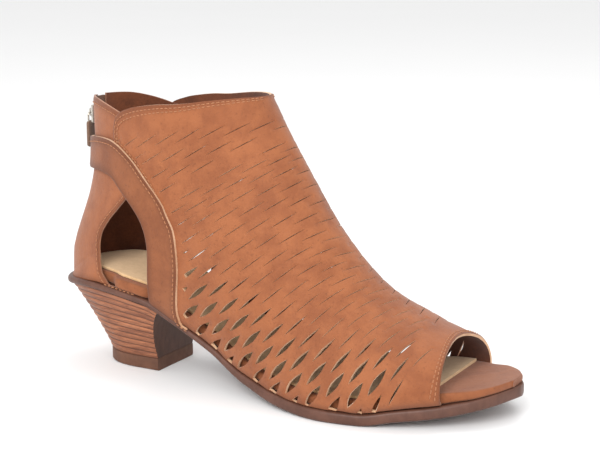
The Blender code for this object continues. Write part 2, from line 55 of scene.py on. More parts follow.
# The last that everything is built on. Shares run along the shoe from the heel's back.
last = {
    "length": 238.2 * mm,
    "heelOverhang": 42 * mm,
    "halfBall": 41 * mm,
    "seat": 43.4 * mm,
    "collar": 138 * mm,
    "gap": 0.3 * mm,
    "waistEdge": 3.1 * mm,
    "forefootEdge": 5.4 * mm,
    "margin": 0.8 * mm,
    "wall": 1.9 * mm,
}
outlineRows = [  # share, lateral, medial half widths
    (0.00, 0.00, 0.00), (0.02, 0.33, 0.33), (0.06, 0.53, 0.54), (0.12, 0.665, 0.65),
    (0.20, 0.70, 0.665), (0.30, 0.675, 0.605), (0.40, 0.705, 0.54), (0.50, 0.81, 0.595),
    (0.60, 0.955, 0.765), (0.68, 1.02, 0.93), (0.74, 0.98, 0.985), (0.80, 0.885, 0.96),
    (0.87, 0.715, 0.865), (0.93, 0.49, 0.735), (0.97, 0.25, 0.53), (0.99, 0.03, 0.33),
    (1.00, -0.15, 0.15),
]
soleRows = [  # share, height of the outsole's lower face
    (0.00, 0.86), (0.11, 0.93), (0.24, 0.84), (0.32, 0.655), (0.41, 0.42), (0.49, 0.18),
    (0.58, 0.04), (0.65, 0.00), (0.75, 0.00), (0.82, 0.065), (0.90, 0.125), (1.00, 0.24),
]
backRows = [  # height, distance from the sole's back
    (0.250, 0.030), (0.315, 0.034), (0.377, 0.041), (0.435, 0.093), (0.512, 0.190),
    (0.607, 0.307), (0.700, 0.376), (0.810, 0.402), (0.900, 0.393), (1.100, 0.393),
]
sectionRows = [  # ridge along, ridge height, base, lateral, medial, widest depth, fullness, crest shift
    (0.905, 0.235, 0.902, 0.64, 0.80, 0.80, 2.00, 0.10),
    (0.877, 0.250, 0.836, 0.83, 0.90, 0.80, 1.95, 0.08),
    (0.842, 0.270, 0.783, 0.94, 0.965, 0.80, 1.95, 0.06),
    (0.800, 0.304, 0.710, 1.02, 0.975, 0.80, 1.95, 0.05),
    (0.754, 0.349, 0.620, 0.99, 0.85, 0.78, 1.95, 0.03),
    (0.712, 0.403, 0.536, 0.90, 0.75, 0.74, 1.95, 0.02),
    (0.669, 0.478, 0.450, 0.83, 0.69, 0.68, 1.95, 0.01),
    (0.634, 0.551, 0.383, 0.79, 0.68, 0.63, 1.95, 0.00),
    (0.602, 0.628, 0.311, 0.76, 0.68, 0.58, 1.95, 0.00),
    (0.573, 0.707, 0.231, 0.735, 0.68, 0.55, 1.95, 0.00),
    (0.544, 0.788, 0.114, 0.71, 0.68, 0.52, 1.95, 0.00),
    (0.532, 0.821, 0.045, 0.70, 0.68, 0.51, 2.00, 0.00),
    (0.524, 0.846, 0.000, 0.69, 0.67, 0.50, 2.00, 0.00),
    (0.515, 0.872, -0.060, 0.68, 0.665, 0.50, 2.00, 0.00),
    (0.500, 0.915, -0.190, 0.66, 0.65, 0.50, 2.00, 0.00),
    (0.488, 0.951, -0.360, 0.635, 0.63, 0.50, 2.00, 0.00),
    (0.476, 0.988, -0.530, 0.62, 0.62, 0.50, 2.00, 0.00),
    (0.460, 1.040, -0.730, 0.61, 0.61, 0.50, 2.00, 0.00),
]


class Curve:
    def __init__(self, points):  # smooth, and never past its points
        self.xs = [p[0] for p in points]
        self.ys = [p[1] for p in points]
        rises = []
        for i in range(len(points) - 1):
            rises.append((self.ys[i + 1] - self.ys[i]) / (self.xs[i + 1] - self.xs[i]))
        self.slopes = [rises[0]]
        for before, after in zip(rises, rises[1:]):
            turning = before * after <= 0
            self.slopes.append(0.0 if turning else 2 * before * after / (before + after))
        self.slopes.append(rises[-1])

    def __call__(self, x):
        x = min(max(x, self.xs[0]), self.xs[-1])
        i = 0
        while i < len(self.xs) - 2 and x > self.xs[i + 1]:
            i += 1
        step = self.xs[i + 1] - self.xs[i]
        t = (x - self.xs[i]) / step
        u = 1 - t
        start = self.ys[i] * (1 + 2 * t) * u * u + step * self.slopes[i] * t * u * u
        return start + self.ys[i + 1] * t * t * (3 - 2 * t) - step * self.slopes[i + 1] * t * t * u


def ease(t):
    t = min(max(t, 0.0), 1.0)
    return t * t * (3 - 2 * t)


def mix(a, b, t):
    return a + (b - a) * t


def turn(share):
    return math.acos(1 - 2 * min(max(share, 0.0), 1.0))


heelBack = -last["heelOverhang"]
toeTip = heelBack + last["length"]
outlineCurve = {
    lateral: Curve([(turn(r[0]), r[1] * last["halfBall"]) for r in outlineRows]),
    medial: Curve([(turn(r[0]), r[2] * last["halfBall"]) for r in outlineRows]),
}
soleCurve = Curve([(a, h * last["seat"]) for a, h in soleRows])
backCurve = Curve([(h * last["collar"], heelBack + s * last["heelOverhang"]) for h, s in backRows])
featherBack = backCurve(last["seat"])


def place(share):
    return heelBack + share * last["length"]


def shareAt(x):
    return (x - heelBack) / last["length"]


def soleHalf(x, side):
    return outlineCurve[side](turn(shareAt(x)))


def soleLower(x):
    return soleCurve(shareAt(x))


def soleUpper(x):
    return soleLower(x) + mix(last["waistEdge"], last["forefootEdge"], ease((shareAt(x) - 0.33) / 0.27))


def featherHalf(x, side):
    shift = (featherBack - heelBack) * (1 - ease((x - featherBack) / (60 * mm)))
    return max(soleHalf(x - shift, side) - last["margin"], 0.0)


def basePoint(base):
    if base >= 0:
        x = mix(featherBack, toeTip, base)
        return x, soleUpper(x) + last["gap"]
    z = soleUpper(featherBack) + last["gap"] - base * last["collar"]
    return backCurve(z), z


def sectionCurve(column, scale=1.0, start=0.0):
    return Curve([(i, start + row[column] * scale) for i, row in enumerate(sectionRows)])


ridgeX = sectionCurve(0, last["length"], heelBack)
ridgeZ = sectionCurve(1, last["collar"])
sectionBase = sectionCurve(2)
sectionHalf = {lateral: sectionCurve(3, last["halfBall"]), medial: sectionCurve(4, last["halfBall"])}
sectionDepth = sectionCurve(5)
sectionFullness = sectionCurve(6)
sectionCrest = sectionCurve(7, last["halfBall"])
topSection = len(sectionRows) - 1


def sectionFrame(section, side):
    base = sectionBase(section)
    x1, z1 = basePoint(base)
    foot = featherHalf(x1, side) if base > 0 else 0.0
    widest = max(sectionHalf[side](section), foot)
    closing = max(math.acos(min(foot / widest, 1.0)), 0.01)
    return (
        ridgeX(section), ridgeZ(section), x1, z1, widest, closing,
        sectionDepth(section), 2 / sectionFullness(section), sectionCrest(section),
    )


def framePoint(f, t, side):
    x0, z0, x1, z1, widest, closing, depth, bend, crest = f
    if t <= 0.5:
        angle = t * math.pi
        half = widest * max(math.sin(angle), 0) ** bend
        down = depth * (1 - max(math.cos(angle), 0) ** bend)
        shift = crest * math.cos(angle) ** 2
    else:
        angle = (2 * t - 1) * closing
        half = widest * math.cos(angle)
        down = depth + (1 - depth) * math.sin(angle) / math.sin(closing)
        shift = 0.0
    return Vector((mix(x0, x1, down), shift + side * half, mix(z0, z1, down)))


def lastPoint(section, t, side):
    return framePoint(sectionFrame(section, side), t, side)


# The flat pattern: a runs up the shoe from the toe opening, v runs out from the ridge.
finePerSection = 12
stepsPerSection = 48
fineCount = topSection * finePerSection
runA = [0.0]
lengths = {lateral: [], medial: []}
surfacePoints = {lateral: [], medial: []}
for i in range(fineCount + 1):
    for side in bothSides:
        shape = sectionFrame(i / finePerSection, side)
        points = [framePoint(shape, j / stepsPerSection, side) for j in range(stepsPerSection + 1)]
        run = [0.0]
        for p, q in zip(points, points[1:]):
            run.append(run[-1] + (q - p).length)
        lengths[side].append(run)
        surfacePoints[side].append(points)
        if side == lateral:
            middle = (points[stepsPerSection * 5 // 8], points[0])
    if i:
        runA.append(runA[-1] + ((middle[0] - before[0]).length + (middle[1] - before[1]).length) / 2)
    before = middle


def gridNormal(i, j, side):
    rows = surfacePoints[side]
    low, high = rows[max(i - 1, 0)], rows[min(i + 1, fineCount)]
    here = rows[i]
    behind = here[j - 1] if j else surfacePoints[-side][i][1]
    if j < stepsPerSection:
        ahead = here[j + 1]
    elif sectionBase(i / finePerSection) <= 0:
        ahead = surfacePoints[-side][i][j - 1]
    else:
        ahead = here[j]
    return ((ahead - behind).cross(high[j] - low[j]) * side).normalized()


surfaceNormals = {}
for side in bothSides:
    surfaceNormals[side] = [
        [gridNormal(i, j, side) for j in range(stepsPerSection + 1)] for i in range(fineCount + 1)
    ]


def fineAt(values, x):
    low, high = 0, len(values) - 1
    while high - low > 1:
        mid = (low + high) // 2
        if values[mid] <= x:
            low = mid
        else:
            high = mid
    span = values[high] - values[low]
    return low + (min(max((x - values[low]) / span, 0.0), 1.0) if span else 0.0)


def flatToLast(a, v):
    fine = fineAt(runA, a)
    i = min(int(fine), fineCount - 1)
    side = medial if v >= 0 else lateral
    t0 = fineAt(lengths[side][i], abs(v))
    t1 = fineAt(lengths[side][i + 1], abs(v))
    return fine / finePerSection, mix(t0, t1, fine - i) / stepsPerSection, side


def surface(a, v):  # point and outward normal on the last
    fine = fineAt(runA, a)
    i = min(int(fine), fineCount - 1)
    side = medial if v >= 0 else lateral
    row = mix(fineAt(lengths[side][i], abs(v)), fineAt(lengths[side][i + 1], abs(v)), fine - i)
    j = min(int(row), stepsPerSection - 1)
    u, w = fine - i, row - j
    found = []
    for grid in (surfacePoints[side], surfaceNormals[side]):
        near = grid[i][j].lerp(grid[i][j + 1], w)
        found.append(near.lerp(grid[i + 1][j].lerp(grid[i + 1][j + 1], w), u))
    return found[0], found[1].normalized()


def lengthAt(section, t, side):
    fine = min(max(section * finePerSection, 0), fineCount)
    i = min(int(fine), fineCount - 1)
    spot = min(max(t, 0), 1) * stepsPerSection
    j = min(int(spot), stepsPerSection - 1)
    low = mix(lengths[side][i][j], lengths[side][i][j + 1], spot - j)
    high = mix(lengths[side][i + 1][j], lengths[side][i + 1][j + 1], spot - j)
    return mix(low, high, fine - i)


def flatA(section):
    fine = min(max(section * finePerSection, 0), fineCount)
    i = min(int(fine), fineCount - 1)
    return mix(runA[i], runA[i + 1], fine - i)


def toFlat(section, t, side):
    return flatA(section), side * lengthAt(section, t, side)


def sideToLast(x, z, side):  # place on the last that shows at x, z from the side
    def miss(section):
        x0, z0 = ridgeX(section), ridgeZ(section)
        x1, z1 = basePoint(sectionBase(section))
        return (x1 - x0) * (z - z0) - (z1 - z0) * (x - x0)

    low, high = 0.0, float(topSection)
    sign = miss(low) > 0
    for turnCount in range(40):
        mid = (low + high) / 2
        if (miss(mid) > 0) == sign:
            low = mid
        else:
            high = mid
    section = (low + high) / 2
    f = sectionFrame(section, side)
    x0, z0, x1, z1, widest, closing, depth, bend, crest = f
    span = Vector((x1 - x0, z1 - z0))
    share = Vector((x - x0, z - z0)).dot(span) / span.length_squared
    share = min(max(share, 0.0), 1.0)
    if share < depth:
        t = math.acos(min(max((1 - share / depth) ** (1 / bend), 0), 1)) / math.pi
    else:
        reach = min((share - depth) / (1 - depth) * math.sin(closing), 1)
        t = (math.asin(reach) / closing + 1) / 2
    return section, min(t, 1.0), side


def sidePoints(rows, side, spacing=1.6 * mm):  # a curve seen from the side, laid on the pattern
    spots = [(place(a), h * last["collar"]) for a, h in rows]
    flat = []
    count = 10
    for i in range(len(spots) - 1):
        p0 = spots[max(i - 1, 0)]
        p1, p2 = spots[i], spots[i + 1]
        p3 = spots[min(i + 2, len(spots) - 1)]
        for k in range(count):
            t = k / count
            pair = []
            for c in (0, 1):
                pair.append(0.5 * (
                    2 * p1[c] + (p2[c] - p0[c]) * t
                    + (2 * p0[c] - 5 * p1[c] + 4 * p2[c] - p3[c]) * t * t
                    + (3 * p1[c] - p0[c] - 3 * p2[c] + p3[c]) * t * t * t
                ))
            flat.append(toFlat(*sideToLast(*pair, side)))
    flat.append(toFlat(*sideToLast(*spots[-1], side)))
    return evenly(flat, spacing)


def evenly(flat, spacing):  # the same line with even steps
    run = [0.0]
    for p, q in zip(flat, flat[1:]):
        run.append(run[-1] + math.dist(p, q))
    count = max(int(run[-1] / spacing + 0.5), 1)
    made, j = [], 0
    for i in range(count + 1):
        wanted = run[-1] * i / count
        while j < len(run) - 2 and run[j + 1] < wanted:
            j += 1
        span = run[j + 1] - run[j]
        t = (wanted - run[j]) / span if span else 0
        made.append((mix(flat[j][0], flat[j + 1][0], t), mix(flat[j][1], flat[j + 1][1], t)))
    return made


def footLine(first, final, side, inset=0.0, spacing=1.6 * mm):  # along the feather edge
    count = 60
    flat = []
    for i in range(count + 1):
        section = mix(first, final, i / count)
        a, v = toFlat(section, 1, side)
        flat.append((a, v - side * inset))
    return evenly(flat, spacing)


print("last measured")


# Looks
class Shade:  # one output of a shader tree, so that sums are written as sums
    def __init__(self, look, socket):
        self.look, self.socket = look, socket

    def maths(self, operation, first, second):
        return self.look.node("ShaderNodeMath", {"operation": operation}, {0: first, 1: second})

    def __add__(self, other):
        return self.maths("ADD", self, other)

    def __sub__(self, other):
        return self.maths("SUBTRACT", self, other)

    def __rsub__(self, other):
        return self.maths("SUBTRACT", other, self)

    def __mul__(self, other):
        return self.maths("MULTIPLY", self, other)

    def __truediv__(self, other):
        return self.maths("DIVIDE", self, other)

    def __pow__(self, other):
        return self.maths("POWER", self, other)

    __radd__ = __add__
    __rmul__ = __mul__


class Look:  # a material and the few nodes that most finishes share
    def __init__(self, name, **fixed):
        self.material = bpy.data.materials.new(name)
        self.material.use_nodes = True
        self.tree = self.material.node_tree
        self.shader = self.tree.nodes["Principled BSDF"]
        for socket, value in fixed.items():
            self.shader.inputs[socket.replace("_", " ")].default_value = value
        self.place = self.node("ShaderNodeTexCoord", {}, {}, "Object")

    def node(self, kind, settings, values, output=0):
        made = self.tree.nodes.new(kind)
        for key, value in settings.items():
            if key == "stops":
                ramp = made.color_ramp.elements
                while len(ramp) < len(value):
                    ramp.new(0.5)
                for stop, (spot, colour) in zip(ramp, value):
                    stop.position = spot
                    stop.color = colour if len(colour) == 4 else (*colour, 1)
            else:
                setattr(made, key, value)
        for key, value in values.items():
            self.feed(made.inputs[key], value)
        return Shade(self, made.outputs[output])

    def feed(self, socket, value):
        if isinstance(value, Shade):
            self.tree.links.new(value.socket, socket)
        elif isinstance(value, tuple) and len(value) == 3 and socket.type == "RGBA":
            socket.default_value = (*value, 1)
        else:
            socket.default_value = value

    def noise(self, scale, detail=3.0, rough=0.55, place=None, warp=0.0):
        values = {"Vector": place or self.place, "Scale": scale, "Detail": detail}
        values.update({"Roughness": rough, "Distortion": warp})
        return self.node("ShaderNodeTexNoise", {}, values, "Fac")

    def stretch(self, x, y, z, turn=(0, 0, 0)):
        return self.node(
            "ShaderNodeMapping", {}, {"Vector": self.place, "Scale": (x, y, z), "Rotation": turn}
        )

    def spread(self, value, low, high):  # 0 at low, 1 at high, clear at both ends
        settings = {"interpolation_type": "SMOOTHSTEP"}
        return self.node("ShaderNodeMapRange", settings, {0: value, 1: low, 2: high})

    def blend(self, first, second, share, kind="MIX"):
        settings = {"data_type": "RGBA", "blend_type": kind}
        return self.node("ShaderNodeMix", settings, {0: share, 6: first, 7: second}, 2)

    def colour(self, value):
        self.feed(self.shader.inputs["Base Color"], value)

    def rough(self, value):
        self.feed(self.shader.inputs["Roughness"], value)

    def bump(self, height, distance, strength=1.0, under=None):
        values = {"Height": height, "Distance": distance, "Strength": strength}
        if under:
            values["Normal"] = under
        return self.node("ShaderNodeBump", {}, values)

    def normal(self, value):
        self.feed(self.shader.inputs["Normal"], value)


nubuckLook = {
    "pale": (0.295, 0.096, 0.034),
    "middle": (0.215, 0.064, 0.022),
    "deep": (0.105, 0.029, 0.010),
    "patches": 48,
    "clouds": 150,
    "grain": 1900,
    "grainDepth": 0.00016,
}


def nubuck(name, tone=1.0):  # brushed leather: cloudy colour, fine nap
    look = Look(name, Sheen_Weight=0.14, Sheen_Roughness=0.55, Specular_IOR_Level=0.22)
    shade = lambda colour: tuple(c * tone for c in colour)
    patches = look.noise(nubuckLook["patches"], 4, 0.6, warp=0.4)
    clouds = look.noise(nubuckLook["clouds"], 5, 0.65)
    grain = look.noise(nubuckLook["grain"], 3, 0.7)
    specks = look.noise(nubuckLook["grain"] * 0.42, 2, 0.5)
    dark = look.spread(patches * 0.6 + clouds * 0.4, 0.62, 0.36)
    colour = look.blend(shade(nubuckLook["pale"]), shade(nubuckLook["middle"]), dark)
    pores = look.spread(specks, 0.60, 0.72)
    colour = look.blend(colour, shade(nubuckLook["deep"]), pores * 0.35)
    # painted shade: the leather is darkened towards each panel's rim, by the per-vertex burnish strength
    rimShade = look.node("ShaderNodeAttribute", {"attribute_name": "burnish"}, {}, "Fac")
    colour = look.blend(colour, shade(nubuckLook["deep"]), rimShade * (0.35 + clouds * 0.6))
    fine = look.spread(grain, 0.35, 0.7)
    colour = look.blend(colour, shade(nubuckLook["pale"]), fine * 0.22)
    look.colour(colour)
    look.rough(0.6 + fine * 0.2)
    under = look.bump(clouds, 0.0006, 0.5)
    look.normal(look.bump(grain + specks * 0.6, nubuckLook["grainDepth"], 0.7, under))
    return look.material


def suede(name, pale, deep, scale=900):  # linings and insides
    look = Look(name, Sheen_Weight=0.2, Sheen_Roughness=0.6, Specular_IOR_Level=0.2)
    patches = look.noise(90, 4, 0.6)
    nap = look.noise(scale, 4, 0.7)
    colour = look.blend(pale, deep, look.spread(patches * 0.55 + nap * 0.45, 0.36, 0.66))
    look.colour(colour)
    look.rough(0.75 + nap * 0.15)
    look.normal(look.bump(nap, 0.00018, 0.6))
    return look.material


def threadLook():
    look = Look("thread", Sheen_Weight=0.15, Specular_IOR_Level=0.35)
    fibre = look.noise(3800, 2, 0.6)
    look.colour(look.blend((0.40, 0.165, 0.07), (0.25, 0.09, 0.036), look.spread(fibre, 0.4, 0.65)))
    look.rough(0.55 + fibre * 0.2)
    look.normal(look.bump(fibre, 0.00008, 0.5))
    return look.material


def satinSole(name, pale, deep, rough):  # smooth moulded sole, slightly scuffed
    look = Look(name, Specular_IOR_Level=0.42)
    clouds = look.noise(70, 4, 0.6)
    scuffs = look.noise(420, 5, 0.7, place=look.stretch(1, 1, 0.4))
    colour = look.blend(pale, deep, look.spread(clouds * 0.6 + scuffs * 0.4, 0.38, 0.64))
    look.colour(colour)
    look.rough(rough + scuffs * 0.22)
    look.normal(look.bump(scuffs, 0.00012, 0.45))
    return look.material


stackLook = {
    "pale": (0.37, 0.138, 0.06),
    "deep": (0.145, 0.045, 0.02),
    "seam": (0.075, 0.024, 0.013),
    "layers": 11,
}


def stacked():  # layered heel: each layer has its own streaks, seams are dark
    look = Look("stacked_layers", Specular_IOR_Level=0.45)
    level = look.node("ShaderNodeAttribute", {"attribute_name": "layer"}, {}, "Fac")
    number = look.node("ShaderNodeMath", {"operation": "FLOOR"}, {0: level})
    within = level - number
    shift = look.node("ShaderNodeCombineXYZ", {}, {"X": number * 0.37, "Y": number * 0.61})
    moved = look.node("ShaderNodeVectorMath", {"operation": "ADD"}, {0: look.place, 1: shift})
    long = look.node("ShaderNodeMapping", {}, {"Vector": moved, "Scale": (90, 90, 900)})
    streaks = look.noise(1.0, 5, 0.65, place=long, warp=0.6)
    fine = look.noise(5.0, 3, 0.6, place=long)
    tone = look.noise(30, 1, 0.5, place=moved)
    dark = look.spread(streaks * 0.55 + tone * 0.3 + fine * 0.15, 0.36, 0.66)
    colour = look.blend(stackLook["pale"], stackLook["deep"], dark)
    edge = look.node("ShaderNodeMath", {"operation": "ABSOLUTE"}, {0: within - 0.5})
    seam = look.spread(edge, 0.36, 0.48)
    colour = look.blend(colour, stackLook["seam"], seam)
    look.colour(colour)
    look.rough(0.36 + fine * 0.25)
    look.normal(look.bump(streaks, 0.00025, 0.5))
    return look.material


def metalLook(name, colour, rough):
    look = Look(name, Metallic=1.0)
    wear = look.noise(700, 4, 0.6)
    look.colour(look.blend(colour, tuple(c * 0.55 for c in colour), look.spread(wear, 0.45, 0.75)))
    look.rough(rough + wear * 0.2)
    look.normal(look.bump(wear, 0.00004, 0.4))
    return look.material


def weave(name, pale, deep):  # zip tape: a fine upright rib
    look = Look(name, Sheen_Weight=0.15, Specular_IOR_Level=0.25)
    ribs = look.node(
        "ShaderNodeTexWave", {"bands_direction": "Y"},
        {"Vector": look.place, "Scale": 520, "Distortion": 0.3}, "Fac",
    )
    nap = look.noise(2600, 2, 0.6)
    look.colour(look.blend(deep, pale, ribs * 0.6 + nap * 0.4))
    look.rough(0.75 + nap * 0.1)
    look.normal(look.bump(ribs + nap * 0.5, 0.00015, 0.7))
    return look.material


finish = {
    "nubuck": nubuck("tan_nubuck"),
    "strapNubuck": nubuck("strap_nubuck", 0.80),
    "cutEdge": suede("raw_edge", (0.68, 0.44, 0.27), (0.50, 0.27, 0.14), 1500),
    "darkEdge": suede("dyed_edge", (0.36, 0.15, 0.07), (0.22, 0.085, 0.04), 1500),
    # inside faces: a dark brown lining, darkened further as painted shade of the shoe's interior
    "inside": suede("inside_brown_painted_shade", (0.145, 0.038, 0.011), (0.085, 0.022, 0.006)),
    "lining": suede("beige_lining", (0.62, 0.45, 0.28), (0.50, 0.34, 0.20), 700),
    "sock": suede("sock_beige", (0.64, 0.42, 0.22), (0.54, 0.34, 0.17), 600),
    "thread": threadLook(),
    "sole": satinSole("satin_sole", (0.115, 0.046, 0.028), (0.077, 0.029, 0.017), 0.36),
    "footbed": nubuck("footbed_wrap", 0.86),
    "stack": stacked(),
    "breast": satinSole("heel_breast", (0.09, 0.034, 0.018), (0.055, 0.021, 0.011), 0.42),
    "lift": satinSole("heel_lift", (0.14, 0.058, 0.03), (0.095, 0.038, 0.02), 0.5),
    "metal": metalLook("nickel", (0.62, 0.58, 0.52), 0.25),
    "coil": metalLook("coil_teeth", (0.30, 0.21, 0.13), 0.35),
    "tape": weave("zip_tape_brown", (0.20, 0.10, 0.06), (0.11, 0.05, 0.03)),
    "tab": suede("pull_leather", (0.21, 0.125, 0.085), (0.13, 0.072, 0.046), 1200),
}
print("looks mixed")


# Meshes
def addMesh(name, mesh, materials, body="shoe"):
    piece = bpy.data.objects.new(name, mesh)
    scene.collection.objects.link(piece)
    for key in materials:
        mesh.materials.append(finish[key])
    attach(piece, body)
    return piece


def shapeMesh(name, shape, materials, body="shoe", angle=35):
    bmesh.ops.recalc_face_normals(shape, faces=shape.faces)
    mesh = bpy.data.meshes.new(name)
    shape.to_mesh(mesh)
    shape.free()
    piece = addMesh(name, mesh, materials, body)
    bpy.ops.object.select_all(action="DESELECT")
    piece.select_set(True)
    bpy.context.view_layer.objects.active = piece
    bpy.ops.object.shade_smooth_by_angle(angle=math.radians(angle))
    return piece


def bridge(shape, rings, closed=True, ends=True, index=0):
    loops = [[shape.verts.new(p) for p in ring] for ring in rings]
    count = len(rings[0])
    made = []
    for before, after in zip(loops, loops[1:]):
        for i in range(count if closed else count - 1):
            j = (i + 1) % count
            face = shape.faces.new((before[i], before[j], after[j], after[i]))
            face.material_index = index
            made.append(face)
    if ends:
        shape.faces.new(loops[0]).material_index = index
        shape.faces.new(loops[-1]).material_index = index
    return loops, made


class Cells:  # finds what lies near a spot on the pattern
    def __init__(self, size):
        self.size = size
        self.held = {}

    def add(self, p, thing):
        self.held.setdefault((int(p[0] // self.size), int(p[1] // self.size)), []).append(thing)

    def near(self, p):
        i, j = int(p[0] // self.size), int(p[1] // self.size)
        for di in (-1, 0, 1):
            for dj in (-1, 0, 1):
                yield from self.held.get((i + di, j + dj), ())


def insideLoop(p, loop):
    x, y = p
    inside = False
    ax, ay = loop[-1]
    for bx, by in loop:
        if (ay > y) != (by > y) and x < (bx - ax) * (y - ay) / (by - ay) + ax:
            inside = not inside
        ax, ay = bx, by
    return inside


def area(loop):
    return sum(a[0] * b[1] - b[0] * a[1] for a, b in zip(loop, loop[1:] + loop[:1])) / 2


def cleaned(loop, least):  # without points that lie almost on the one before
    kept = []
    for p in loop:
        if not kept or math.dist(p, kept[-1]) > least:
            kept.append(p)
    while math.dist(kept[0], kept[-1]) < least:
        kept.pop()
    return kept


def patternMesh(outline, holes, grid, band):  # flat triangles, worked out in millimetres
    outline = cleaned([(a / mm, v / mm) for a, v in outline], 0.25)
    holes = [[(a / mm, v / mm) for a, v in hole] for hole in holes]
    grid, band = grid / mm, band / mm
    if area(outline) < 0:
        outline = outline[::-1]
    points = list(outline)
    edges = [(i, (i + 1) % len(outline)) for i in range(len(outline))]
    taken = Cells(grid)
    wide = Cells(10)
    for hole in holes:
        start = len(points)
        points += hole
        edges += [(start + i, start + (i + 1) % len(hole)) for i in range(len(hole))]
        wide.add((sum(p[0] for p in hole) / len(hole), sum(p[1] for p in hole) / len(hole)), hole)
    for p in points:
        taken.add(p, p)

    def inHole(p):
        return any(insideLoop(p, hole) for hole in wide.near(p))

    def room(p, clear):
        return all(math.dist(p, q) > clear for q in taken.near(p))

    for i, p in enumerate(outline):  # a row of points just inside the rim
        along = Vector(outline[(i + 1) % len(outline)]) - Vector(outline[i - 1])
        if along.length:
            along.normalize()
            q = (p[0] - along.y * band, p[1] + along.x * band)
            if room(q, band * 0.7) and insideLoop(q, outline) and not inHole(q):
                points.append(q)
                taken.add(q, q)
    xs, ys = [p[0] for p in outline], [p[1] for p in outline]
    rows = int((max(ys) - min(ys)) / (grid * 0.866)) + 1
    for row in range(rows):
        y = min(ys) + row * grid * 0.866
        x = min(xs) + (grid / 2 if row % 2 else 0)
        while x < max(xs):
            q = (x, y)
            if room(q, grid * 0.55) and insideLoop(q, outline) and not inHole(q):
                points.append(q)
            x += grid
    made = delaunay_2d_cdt([Vector(p) for p in points], edges, [], 0, 0.001)
    verts = [tuple(p) for p in made[0]]
    faces = []
    for face in made[2]:
        middle = (sum(verts[i][0] for i in face) / 3, sum(verts[i][1] for i in face) / 3)
        if insideLoop(middle, outline) and not inHole(middle):
            flat = area([verts[i] for i in face])
            faces.append(tuple(face)[::-1] if flat < 0 else tuple(face))
    return [(x * mm, y * mm) for x, y in verts], faces, [(x * mm, y * mm) for x, y in outline]


def panel(name, outline, holes, near, far, materials, grid=2 * mm, drop=0.35 * mm, relief=None, rimShade=None):
    # a leather piece on the last between two offsets, its rim rolled and its holes cut square
    verts, faces, rim = patternMesh(outline, holes, grid, 0.7 * mm)
    walls = {}
    for face in faces:
        for i, j in zip(face, face[1:] + face[:1]):
            if (j, i) in walls:
                del walls[(j, i)]
            else:
                walls[(i, j)] = face
    onRim = Cells(2 * mm)
    for p in rim:
        onRim.add(p, p)
    outward = {}
    for i, j in walls:
        along = Vector(verts[j]) - Vector(verts[i])
        away = Vector((along.y, -along.x)).normalized()
        for k in (i, j):
            outward[k] = outward.get(k, Vector((0, 0))) + away
    outer, inner, normals = [], [], []
    for k, (a, v) in enumerate(verts):
        base, normal = surface(a, v)
        lift, shading = near, normal
        if k in outward:
            rimmed = any(math.dist(p, verts[k]) < 0.05 * mm for p in onRim.near(verts[k]))
            way = outward[k].normalized() * 0.5 * mm
            beside = surface(a + way.x, v + way.y)[0] - base
            lift = near - (drop if rimmed else 0.1 * mm)
            shading = (normal + beside.normalized() * (0.8 if rimmed else 0.3)).normalized()
        if relief:
            lift += relief(a, v)
        outer.append(base + normal * lift)
        inner.append(base + normal * far)
        normals.append((shading, -normal))
    count = len(verts)
    every = list(faces) + [tuple(count + i for i in reversed(f)) for f in faces]
    every += [(j, i, count + i, count + j) for i, j in walls]
    mesh = bpy.data.meshes.new(name)
    mesh.from_pydata([*outer, *inner], [], every)
    i, j, k = faces[len(faces) // 2]
    if (outer[j] - outer[i]).cross(outer[k] - outer[i]).dot(normals[i][1]) > 0:
        mesh.flip_normals()
    # painted shade: how strongly the finish darkens the leather near the rim, 1 at the rim
    burnish = mesh.attributes.new("burnish", "FLOAT", "POINT")
    for k, (a, v) in enumerate(verts):
        burnish.data[k].value = rimShade(a, v) if rimShade else 0.0
    mesh.update()
    split = []
    for number, face in enumerate(mesh.polygons):
        face.use_smooth = True
        face.material_index = min(number // len(faces), 2)
        for i in face.vertices:
            if number < len(faces):
                split.append(normals[i][0])
            elif number < 2 * len(faces):
                split.append(normals[i - count][1])
            else:
                split.append(face.normal.copy())
    mesh.normals_split_custom_set(split)
    return addMesh(name, mesh, materials)


# Stitches
stitch = {"pitch": 2.3 * mm, "length": 1.75 * mm, "thread": 0.55 * mm}


def threadAlong(shape, line, ups):  # short thread lengths evenly along a line in space
    run = [0.0]
    for p, q in zip(line, line[1:]):
        run.append(run[-1] + (q - p).length)
    j = 0
    for number in range(int(run[-1] / stitch["pitch"])):
        wanted = (number + 0.5) * stitch["pitch"]
        while run[j + 1] < wanted:
            j += 1
        t = (wanted - run[j]) / (run[j + 1] - run[j])
        middle = line[j].lerp(line[j + 1], t)
        along = (line[j + 1] - line[j]).normalized()
        wide = along.cross(ups[j]).normalized()
        addStitch(shape, middle, along, wide, wide.cross(along))


def addStitch(shape, middle, along, wide, up):
    half, radius = stitch["length"] / 2, stitch["thread"] / 2
    rings = []
    for place, swell, rise in ((-1, 0.4, -0.6), (-0.6, 0.95, 0.15), (0.6, 0.95, 0.15), (1, 0.4, -0.6)):
        centre = middle + along * half * place + up * radius * rise
        ring = []
        for k in range(6):
            angle = k * math.pi / 3
            ring.append(centre + (wide * math.cos(angle) + up * math.sin(angle)) * radius * swell)
        rings.append(ring)
    bridge(shape, rings)


def stitchRows(name, rows):  # rows of (flat points, height over the last, 1 outside or -1 inside)
    shape = bmesh.new()
    for flat, height, facing in rows:
        spots = [surface(a, v) for a, v in flat]
        line = [p + n * height for p, n in spots]
        threadAlong(shape, line, [n * facing for p, n in spots])
    return shapeMesh(name, shape, ["thread"], angle=70)


def inset(flat, distance):  # the line moved to its left on the pattern
    moved = []
    for i, p in enumerate(flat):
        along = Vector(flat[min(i + 1, len(flat) - 1)]) - Vector(flat[max(i - 1, 0)])
        along.normalize()
        moved.append((p[0] - along.y * distance, p[1] + along.x * distance))
    return moved


